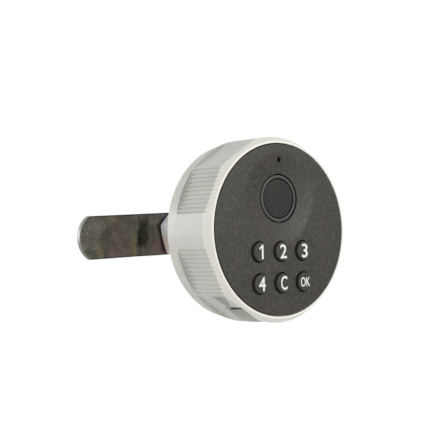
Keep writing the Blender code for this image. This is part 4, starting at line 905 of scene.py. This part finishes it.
@dataclass
class FrontPlate:
    """Black plate in the housing's front, hollowed round the sensor and holed for the keys."""

    radius: float = 30.0
    thickness: float = 2.6
    skirt: float = 28.3
    skirt_end: float = 5.0
    dish_radius: float = 15.5
    dish_depth: float = 1.2
    sensor_z: float = 10.9
    sensor_hole: float = 8.7
    light_z: float = 24.5
    light_hole: float = 0.95
    key_hole: float = 3.7
    through: Span = (-1.0, 4.0)
    edge: float = 0.25
    post: float = 2.6
    post_circle: float = 24.4
    post_turns: tuple[float, ...] = (62.0, 218.0, 322.0)
    post_depths: Span = (1.2, 6.2)
    pilot_depths: Span = (3.9, 7.0)
    relief_rear: float = 6.0
    foot_front: float = 1.2
    foot_relief: float = -24.6
    skirt_relief: float = -18.7

    def dish(self) -> Work:
        """Shallow bowl whose rim runs out softly into the plate."""
        steps = [self.dish_radius + 1.9 - 0.35 * step for step in range(28)]
        bowl = []
        for radius in steps:
            depth = self.dish_depth * (1 - (radius / self.dish_radius) ** 2)
            bowl.append((radius, (depth + math.hypot(depth, 0.12)) / 2 - 0.013))
        return Work.turned("dish", [(steps[0], -1.0), *bowl], FACETS, (0.0, self.sensor_z), solid=True)

    def build(self) -> list[bpy.types.Object]:
        """Builds and dresses the plate."""
        start, end = self.through
        profile = [*rounded((self.radius - self.edge, self.edge), self.edge, -90, 0, 4),
                   (self.radius, self.skirt_end), (self.skirt, self.skirt_end), (self.skirt, self.thickness)]
        plate = Work.turned("plate", profile, solid=True)
        for turn in self.post_turns:
            centre = around(self.post_circle, turn)
            plate.join(Join.ADD, Work.rod("post", self.post, self.post_depths, centre=centre))
            plate.join(Join.CUT, Work.rod("pilot", PILOT, self.pilot_depths, centre=centre))
        plate.join(Join.CUT, self.dish(),
                   Work.rod("sensor_hole", self.sensor_hole, self.through, 144, (0.0, self.sensor_z)),
                   Work.rod("light_hole", self.light_hole, self.through, centre=(0.0, self.light_z)))
        wide = self.key_hole + 0.2
        hole = [(wide, start), (wide, 0.0), (wide - 0.14, 0.06), (self.key_hole, 0.2), (self.key_hole, end)]
        for centre in key_places().values():
            plate.join(Join.CUT, Work.turned("key_hole", hole, 96, centre, solid=True))
        far = self.radius + 1.0
        for name, front, top in (("foot_relief", self.foot_front, self.foot_relief),
                                 ("skirt_relief", self.thickness, self.skirt_relief)):
            plate.join(Join.CUT, Work.block(name, (-far, front, -far), (far, self.relief_rear, top)))
        return [plate.dress(PLATE, "knob", "front_plate")]


@dataclass
class Sensor:
    """Ring and disc of the fingerprint sensor."""

    centre: Place = (0.0, 10.9)
    ring: float = 8.2
    bore: float = 7.1
    sink: float = 0.85
    disc: float = 6.8
    disc_sink: float = 1.0
    flange: float = 9.6
    flange_front: float = 2.9
    rear: float = 3.7
    edge: float = 0.18

    def build(self) -> list[bpy.types.Object]:
        """Builds and dresses both pieces."""
        edge = self.edge
        ring = Work.turned("sensor_ring", [
            *rounded((self.bore + edge, self.sink + edge), edge, 180, 270, 4),
            *rounded((self.ring - edge, self.sink + edge), edge, 270, 360, 4),
            (self.ring, self.flange_front), (self.flange, self.flange_front), (self.flange, self.rear),
            (self.bore, self.rear)], 144, self.centre)
        disc = Work.turned("sensor_disc", [
            *rounded((self.disc - edge, self.disc_sink + edge), edge, -90, 0, 4), (self.disc, self.rear)],
            144, self.centre, solid=True)
        return [ring.dress(BEZEL, "knob", "sensor_bezel"), disc.dress(SENSOR, "knob", "fingerprint_sensor")]


@dataclass
class Keypad:
    """Six round keys with white legends."""

    radius: float = 3.4
    proud: float = 1.0
    rounding: float = 0.45
    flange: float = 4.3
    flange_front: float = 2.9
    rear: float = 3.6
    height: float = 4.9
    word_share: float = 0.68
    print_depth: float = 0.007

    def legend(self, name: str, text: str, size: Place, centre: Place) -> Work:
        """Writes one legend on the face of a key.

        Args:
            name: The piece's name.
            text: What it says.
            size: Width and height of the whole legend.
            centre: Place (x, z) of its middle.

        Returns:
            The legend as a mesh.
        """
        bpy.ops.object.select_all(action="DESELECT")
        bpy.ops.object.text_add()
        writing = bpy.context.active_object.data
        writing.body, writing.size, writing.resolution_u = text, 10.0, 6
        writing.offset, writing.extrude = 0.13, 0.01
        bpy.ops.object.convert(target="MESH")
        work = Work(name)
        with work.editing():
            work.even_out()
        corners = [Vector(corner) for corner in work.piece.bound_box]
        low, high = corners[0], corners[6]
        work.piece.data.transform(Matrix.Translation(-(low + high) / 2))
        work.piece.scale = (size[0] / (high.x - low.x), size[1] / (high.y - low.y), 0.7)
        work.piece.rotation_euler = (math.pi / 2, 0.0, 0.0)
        work.piece.location = spot(centre[0], -self.proud, centre[1])
        work.settle()
        return work

    def figure_one(self, name: str, centre: Place) -> Work:
        """Makes the figure one of a bar and a slanted flag, centred at (x, z)."""
        x, z = centre
        top, front, rear = z + self.height / 2, -self.proud - self.print_depth, self.print_depth - self.proud
        bar = Work.block(name, (x + 0.1, front, z - self.height / 2), (x + 0.9, rear, top))
        flag = Work.block("flag", (x - 0.9, front, top - 0.75), (x + 0.5, rear, top))
        flag.shifted(lambda across, depth, up: across < x, (0.0, 0.0, -0.95))
        return bar.join(Join.ADD, flag)

    def build(self) -> list[bpy.types.Object]:
        """Builds and dresses the keys and their legends."""
        made = []
        legends = (("1", 1.8), ("2", 3.1), ("3", 2.8), ("4", 3.1), ("C", 3.0), ("OK", 4.5))
        edge = rounded((self.radius - self.rounding, self.rounding - self.proud), self.rounding, -90, 0, 6)
        profile = [*edge, (self.radius, self.flange_front), (self.flange, self.flange_front),
                   (self.flange, self.rear)]
        for (name, centre), (text, width) in zip(key_places().items(), legends):
            key = Work.turned(name + "_cap", profile, 96, centre, solid=True)
            made.append(key.dress(KEY, name, name))
            size = (width, self.height * (self.word_share if len(text) > 1 else 1.0))
            legend = (self.figure_one(name + "_legend", centre) if text == "1"
                      else self.legend(name + "_legend", text, size, centre))
            made.append(legend.dress(LEGEND, name))
        return made


@dataclass
class Base:
    """Fixed ring behind the housing, with the boss that the housing turns on."""

    radius: float = 31.5
    front: float = 19.5
    web_rear: float = 21.9
    rim: float = 29.5
    edge: float = 0.3
    bore: float = 4.3
    boss: float = 11.7
    boss_front: float = 15.4
    socket: float = 8.9
    socket_floor: float = 18.0
    groove: float = 10.6
    groove_depths: Span = (16.2, 17.6)
    lip: Span = (14.3, 16.0)
    track_radii: Span = (20.6, 23.4)
    track_depths: Span = (18.5, 20.8)
    track_turns: Span = (40.0, 140.0)
    pilot_depths: Span = (18.6, 23.0)

    def build(self) -> list[bpy.types.Object]:
        """Builds and dresses the base."""
        edge, (near, far), (inner, outer) = self.edge, self.groove_depths, self.lip
        base = Work.turned("base", [
            (self.bore, self.socket_floor), (self.socket, self.socket_floor), (self.socket, self.boss_front),
            (self.boss, self.boss_front), (self.boss, near), (self.groove, near), (self.groove, far),
            (self.boss, far), (self.boss, self.front),
            *rounded((self.radius - edge, self.front + edge), edge, -90, 0),
            *rounded((self.radius - edge, DOOR_DEPTH - edge), edge, 0, 90), (self.rim, DOOR_DEPTH),
            (self.rim, self.web_rear), (outer, self.web_rear), (outer, DOOR_DEPTH), (inner, DOOR_DEPTH),
            (inner, self.web_rear), (self.bore, self.web_rear)])
        base.join(Join.CUT, Work.sector("track", self.track_radii, self.track_depths, self.track_turns))
        for centre in screw_places():
            base.join(Join.CUT, Work.rod("pilot", PILOT, self.pilot_depths, centre=centre))
        return [base.dress(BASE, "mount", "base_plate")]


@dataclass
class Barrel:
    """Threaded barrel through the door, its nut and its screws."""

    radius: float = 7.0
    root: float = 6.42
    pitch: float = 1.0
    front: float = 22.2
    flange: float = 14.0
    flange_rear: float = 23.9
    end: float = 56.9
    bore: float = 4.3
    sink: float = 2.1
    sink_floor: float = 22.8
    nut_flats: float = 19.0
    nut_rear: float = 56.4
    nut_thickness: float = 3.4
    nut_turn: float = 164.5

    def thread(self) -> Work:
        """Winds one turn's profile into a threaded rod with plain ends."""
        bpy.ops.object.select_all(action="DESELECT")
        half = self.pitch / 2
        bpy.ops.mesh.primitive_circle_add(vertices=4, radius=half,
                                          location=spot(self.root, self.flange_rear - 1.5, 0.0))
        rod = Work("thread")
        with rod.editing(lambda x, depth, z: x < self.root - half / 2):
            bpy.ops.mesh.delete(type="VERT")
        rod.shifted(lambda x, depth, z: x > self.root + half / 2, (self.radius - self.root - half, 0.0, 0.0))
        turns = math.ceil((self.end - self.flange_rear + 3.0) / self.pitch)
        rod.apply("SCREW", axis="Y", angle=math.tau, screw_offset=self.pitch, iterations=turns, steps=72,
                  render_steps=72, use_merge_vertices=True, merge_threshold=WELD)
        with rod.editing():
            rod.even_out()
            for depth, way in ((self.flange_rear - 0.5, -1.0), (self.end, 1.0)):
                bpy.ops.mesh.select_all(action="SELECT")
                bpy.ops.mesh.bisect(plane_co=spot(0.0, depth, 0.0), plane_no=(0.0, way, 0.0), use_fill=True,
                                    clear_outer=True)
            rod.even_out()
        wide = self.radius + 0.1
        edge = Work.turned("end_cone", [(wide, self.flange_rear - 1.0), (wide, self.end - 0.7),
                                        (self.root - 0.1, self.end + 0.1)], 144, solid=True)
        return rod.join(Join.KEEP, edge)

    def build_barrel(self) -> bpy.types.Object:
        """Builds the flanged barrel and dresses it."""
        edge = 0.2
        barrel = Work.turned("barrel_tube", [
            *rounded((self.flange - edge, self.front + edge), edge, -90, 0, 3),
            *rounded((self.flange - edge, self.flange_rear - edge), edge, 0, 90, 3),
            (self.root + 0.2, self.flange_rear), (self.root - 0.1, self.flange_rear + 0.3),
            (self.root - 0.1, self.end - 1.0)], 144, solid=True)
        barrel.join(Join.ADD, self.thread())
        barrel.join(Join.CUT, Work.rod("bore", self.bore, (self.front - 1.0, self.end + 1.0), 96))
        sink = [(PILOT, self.front - 1.0), (PILOT, self.sink_floor), (self.sink, self.sink_floor),
                (self.sink, self.flange_rear + 1.0)]
        for centre in screw_places():
            barrel.join(Join.CUT, Work.turned("sink", sink, 48, centre, solid=True))
        return barrel.dress(BARREL, "mount", "barrel")

    def build_nut(self) -> bpy.types.Object:
        """Builds the hexagon nut, its corners turned back on both faces."""
        corner = self.nut_flats / 2 / math.cos(math.pi / 6)
        front = self.nut_rear - self.nut_thickness
        nut = Work.rod("nut", corner, (front, self.nut_rear), 6)
        reach = math.degrees(math.atan2(nut.piece.data.vertices[0].co.z, nut.piece.data.vertices[0].co.x))
        nut.swung(self.nut_turn - reach)
        face = self.nut_flats / 2 - 0.2
        rise = 0.7 * (corner + 1.0 - face) / (corner - face)
        nut.join(Join.KEEP, Work.turned("corners", [
            (face, front), (corner + 1.0, front + rise), (corner + 1.0, self.nut_rear - rise),
            (face, self.nut_rear)], 192, solid=True))
        bore = self.radius + 0.3
        nut.join(Join.CUT, Work.turned("nut_bore", [
            (bore + 1.5, front - 1.0), (bore, front + 0.5), (bore, self.nut_rear - 0.5),
            (bore + 1.5, self.nut_rear + 1.0)], 144, solid=True))
        nut.softened(0.12, 2, 25.0)
        return nut.dress(ZINC, "mount", "mounting_nut")

    def build(self) -> list[bpy.types.Object]:
        """Builds and dresses the barrel, the nut and three screws."""
        made = [self.build_barrel(), self.build_nut()]
        for number, centre in enumerate(screw_places(), 1):
            screw = Screw(f"barrel_screw_{number}", "mount", centre, seat=23.1, tip=18.9, head_radius=1.8,
                          head=0.8, shank=0.8)
            made.append(screw.build())
        return made


@dataclass
class Cam:
    """Cranked bar on the spindle's square, with its washer and screw."""

    width: float = 16.0
    thickness: float = 2.0
    reach: float = 44.6
    tip_radius: float = 9.5
    front: float = 57.2
    crank: float = 2.2
    crank_start: float = 14.3
    crank_run: float = 2.8
    bend: float = 2.2
    play: float = -1.8
    hole: float = 4.3
    hole_flat: float = 3.5
    washer_radii: Span = (2.0, 6.0)
    washer_depths: Span = (59.5, 60.3)
    washer_edge: float = 0.15

    def bar(self) -> Work:
        """Draws the bar's section out along the crank, spun round each bend."""
        half = self.thickness / 2
        angle = math.atan2(self.crank, self.crank_run)
        middle = self.front + half
        lead = self.bend * math.tan(angle / 2)
        slope = math.hypot(self.crank, self.crank_run) - 2 * lead
        start = self.width / 2 + 1.0
        far = start + 1.0
        bar = Work.block("cam_bar", (start, self.front, -far), (far, self.front + self.thickness, far))
        first = -self.crank_start + lead - half * math.tan(angle / 2)
        with bar.editing(lambda x, depth, z: x < start + 0.5):
            self.draw_out((first - start, 0.0))
            bpy.ops.mesh.spin(steps=6, angle=angle, center=spot(first, middle + self.bend, 0.0),
                              axis=(0.0, 0.0, 1.0))
            self.draw_out((-slope * math.cos(angle), slope * math.sin(angle)))
            x = first - self.bend * math.sin(angle) - slope * math.cos(angle) - self.bend * math.sin(angle)
            bpy.ops.mesh.spin(steps=6, angle=-angle, center=spot(x, middle + self.crank - self.bend, 0.0),
                              axis=(0.0, 0.0, 1.0))
            self.draw_out((-self.reach - 1.5 - x, 0.0))
            bar.even_out()
        return bar

    @staticmethod
    def draw_out(step: Place) -> None:
        """Extrudes the selected face by a step (x, back)."""
        bpy.ops.mesh.extrude_region_move(TRANSFORM_OT_translate={"value": (step[0], step[1], 0.0)})

    def build_cam(self) -> bpy.types.Object:
        """Shapes the bar's plan, cuts its square hole and dresses it."""
        cam = self.bar()
        depths = (self.front - 1.0, self.front + self.thickness + self.crank + 1.0)
        root = Work.rod("root_plan", self.width / 2, depths, 192)
        root.shifted(lambda x, depth, z: x < -0.01, (-60.0, 0.0, 0.0))
        tip_x = self.tip_radius - self.reach
        tip = Work.rod("tip_plan", self.tip_radius, depths, 256, (tip_x, 0.0))
        tip.shifted(lambda x, depth, z: x > tip_x + 0.01, (60.0, 0.0, 0.0))
        cam.join(Join.KEEP, root, tip)
        hole = Work.rod("square", self.hole, depths, 96)
        for x, z in ((1.0, 0.0), (-1.0, 0.0), (0.0, 1.0), (0.0, -1.0)):
            hole.trim((self.hole_flat * x, 0.0, self.hole_flat * z), (x, 0.0, z))
        cam.join(Join.CUT, hole)
        cam.softened(0.14, 2, 40.0)
        return cam.swung(-self.play).dress(CAM, "spindle", "cam", crease=25.0)

    def build(self) -> list[bpy.types.Object]:
        """Builds and dresses the cam, washer and screw."""
        edge, (inner, outer), (front, rear) = self.washer_edge, self.washer_radii, self.washer_depths
        washer = Work.turned("washer", [
            *rounded((inner + edge, front + edge), edge, 180, 270, 3),
            *rounded((outer - edge, front + edge), edge, 270, 360, 3),
            *rounded((outer - edge, rear - edge), edge, 0, 90, 3),
            *rounded((inner + edge, rear - edge), edge, 90, 180, 3)], 96)
        screw = Screw("cam_screw", "spindle", (0.0, 0.0), seat=60.6, tip=52.6, head_radius=3.6, head=2.4,
                      shank=1.7)
        return [self.build_cam(), washer.dress(BARREL, "spindle", "cam_washer"), screw.build()]


@dataclass
class Spring:
    """Return spring of the clutch; the real one shortens as the plunger slides, this coil keeps its length.
    """

    wire: float = 0.14
    turns: int = 6
    travel: float = 2.2

    def build(self) -> list[bpy.types.Object]:
        """Winds the spring where the frame has its own and hands it to the knob's body."""
        node = frame["nodes"]["return_spring"]
        corners = [node.matrix_world @ Vector(corner) / MM for corner in node.bound_box]
        low, high = corners[0], corners[6]
        radius, length = (high.x - low.x) / 2 - self.wire, high.y - low.y
        bpy.ops.object.select_all(action="DESELECT")
        bpy.ops.mesh.primitive_circle_add(vertices=12, radius=self.wire,
                                          location=(radius, low.y + self.wire, 0.0))
        coil = Work("clutch_spring")
        coil.apply("SCREW", axis="Y", angle=math.tau, screw_offset=(length - 2 * self.wire) / self.turns,
                   iterations=self.turns, steps=32, render_steps=32)
        with coil.editing():
            bpy.ops.mesh.fill_holes(sides=0)
            coil.even_out()
            bpy.ops.transform.translate(value=((low.x + high.x) / 2, 0.0, (low.z + high.z) / 2))
        piece = coil.dress(STEEL, "knob", "return_spring")
        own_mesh(piece)
        return [piece]


@dataclass
class Insides:
    """Pieces inside the lock, which keep the frame's own meshes."""

    def build(self) -> list[bpy.types.Object]:
        """Paints every node of the frame by its slot's finish."""
        by_slot = {finish.slot: finish for finish in FINISHES}
        made = []
        for node in frame["nodes"].values():
            for holder in node.material_slots:
                holder.material = by_slot[holder.material.name.split(".")[0]].material()
            if not node.hide_render:
                made.append(node)
        return made


@dataclass
class Studio:
    """White floor and soft lamps."""

    floor_z: float = -120.0
    world: float = 0.55

    def lamp(self, name: str, place: Sequence[float], size: float, power: float) -> None:
        """Adds a soft square lamp that faces the lock.

        Args:
            name: The lamp's name.
            place: Its place in metres.
            size: Side of the lamp in metres.
            power: Its power in watts.
        """
        bpy.ops.object.light_add(type="AREA", location=place)
        lamp = bpy.context.active_object
        lamp.name = name
        lamp.data.size, lamp.data.energy = size, power
        lamp.rotation_euler = (-Vector(place)).to_track_quat("-Z", "Y").to_euler()

    def background(self) -> None:
        """White for the camera and in reflections, and soft light for the rest."""
        world = bpy.data.worlds.new("white_room")
        bpy.context.scene.world = world
        world.use_nodes = True
        nodes, links = world.node_tree.nodes, world.node_tree.links
        rays = nodes.new("ShaderNodeLightPath").outputs
        seen = rays["Is Camera Ray"]
        for kind in ("Is Glossy Ray", "Is Transmission Ray"):
            either = nodes.new("ShaderNodeMath")
            either.operation = "MAXIMUM"
            links.new(seen, either.inputs[0])
            links.new(rays[kind], either.inputs[1])
            seen = either.outputs[0]
        level = nodes.new("ShaderNodeMapRange")
        level.inputs["To Min"].default_value = self.world
        links.new(seen, level.inputs["Value"])
        links.new(level.outputs[0], nodes["Background"].inputs["Strength"])
        nodes["Background"].inputs["Color"].default_value = WHITE

    def floor(self) -> None:
        """White floor that keeps the lock's shadow and runs out into the background."""
        bpy.ops.object.select_all(action="DESELECT")
        bpy.ops.mesh.primitive_plane_add(size=6.0, location=(0.0, 0.0, self.floor_z * MM))
        floor = Work("floor")
        paint = Paint("floor_white")
        paint.set(Base_Color=(0.88, 0.88, 0.88, 1.0), Roughness=0.6)
        far = paint.ramp(paint.radius(1), 60.0, 200.0)
        camera = paint.add("ShaderNodeLightPath", output="Is Camera Ray")
        glow = paint.add("ShaderNodeEmission", values={"Color": WHITE, "Strength": 1.0})
        shown = paint.add("ShaderNodeMixShader", values={
            0: camera * (far * 0.3 + 0.7), 1: Wire(paint, paint.shader.outputs[0]), 2: glow})
        paint.feed(paint.tree.nodes["Material Output"].inputs["Surface"], shown)
        floor.piece.data.materials.append(paint.material)

    def build(self) -> None:
        """Sets up the whole studio."""
        self.background()
        self.floor()
        self.lamp("side_left", (-1.0, -0.45, 0.1), size=0.7, power=1.9)
        self.lamp("front", (0.45, -1.0, 0.3), size=0.5, power=4.6)
        self.lamp("rear_left", (-0.6, 0.9, 0.15), size=0.4, power=2.6)


@dataclass
class Camera:
    """Camera fitted to the photograph, referred to the middle of the plate's face."""

    turn: float = -39.824
    rise: float = -0.945
    roll: float = 1.384
    distance: float = 415.439
    across: float = -21.232
    up: float = 3.847
    focal: float = 1189.697
    frame_width: float = 440.0

    def build(self) -> None:
        """Adds the camera and makes it the scene's own."""
        turn, rise, roll = (math.radians(angle) for angle in (self.turn, self.rise, self.roll))
        back = Vector((math.sin(turn) * math.cos(rise), -math.cos(turn) * math.cos(rise), math.sin(rise)))
        right = Vector((math.cos(turn), math.sin(turn), 0.0))
        above = back.cross(right)
        bpy.ops.object.camera_add()
        camera = bpy.context.active_object
        camera.name = "photo_camera"
        camera.data.lens = camera.data.sensor_width * self.focal / self.frame_width
        camera.data.clip_start = 0.01
        side = right * math.cos(roll) - above * math.sin(roll)
        top = right * math.sin(roll) + above * math.cos(roll)
        place = (spot(0.0, 0.0, 0.0) + back * self.distance + right * self.across + above * self.up) * MM
        camera.matrix_world = Matrix.Translation(place) @ Matrix((side, top, back)).transposed().to_4x4()
        bpy.context.scene.camera = camera


def main() -> None:
    """Builds and dresses the lock, then the studio round it."""
    logging.basicConfig(level=logging.INFO, format="%(message)s")
    assemblies = (Housing(), FrontPlate(), Sensor(), Keypad(), Base(), Barrel(), Cam(), Spring(), Insides())
    for assembly in assemblies:
        for piece in assembly.build():
            LOG.info("%s: %s, %d faces", type(assembly).__name__, piece.name, len(piece.data.polygons))
    Studio().build()
    Camera().build()
    bpy.context.scene.view_settings.view_transform = "Standard"


if __name__ == "__main__":
    main()
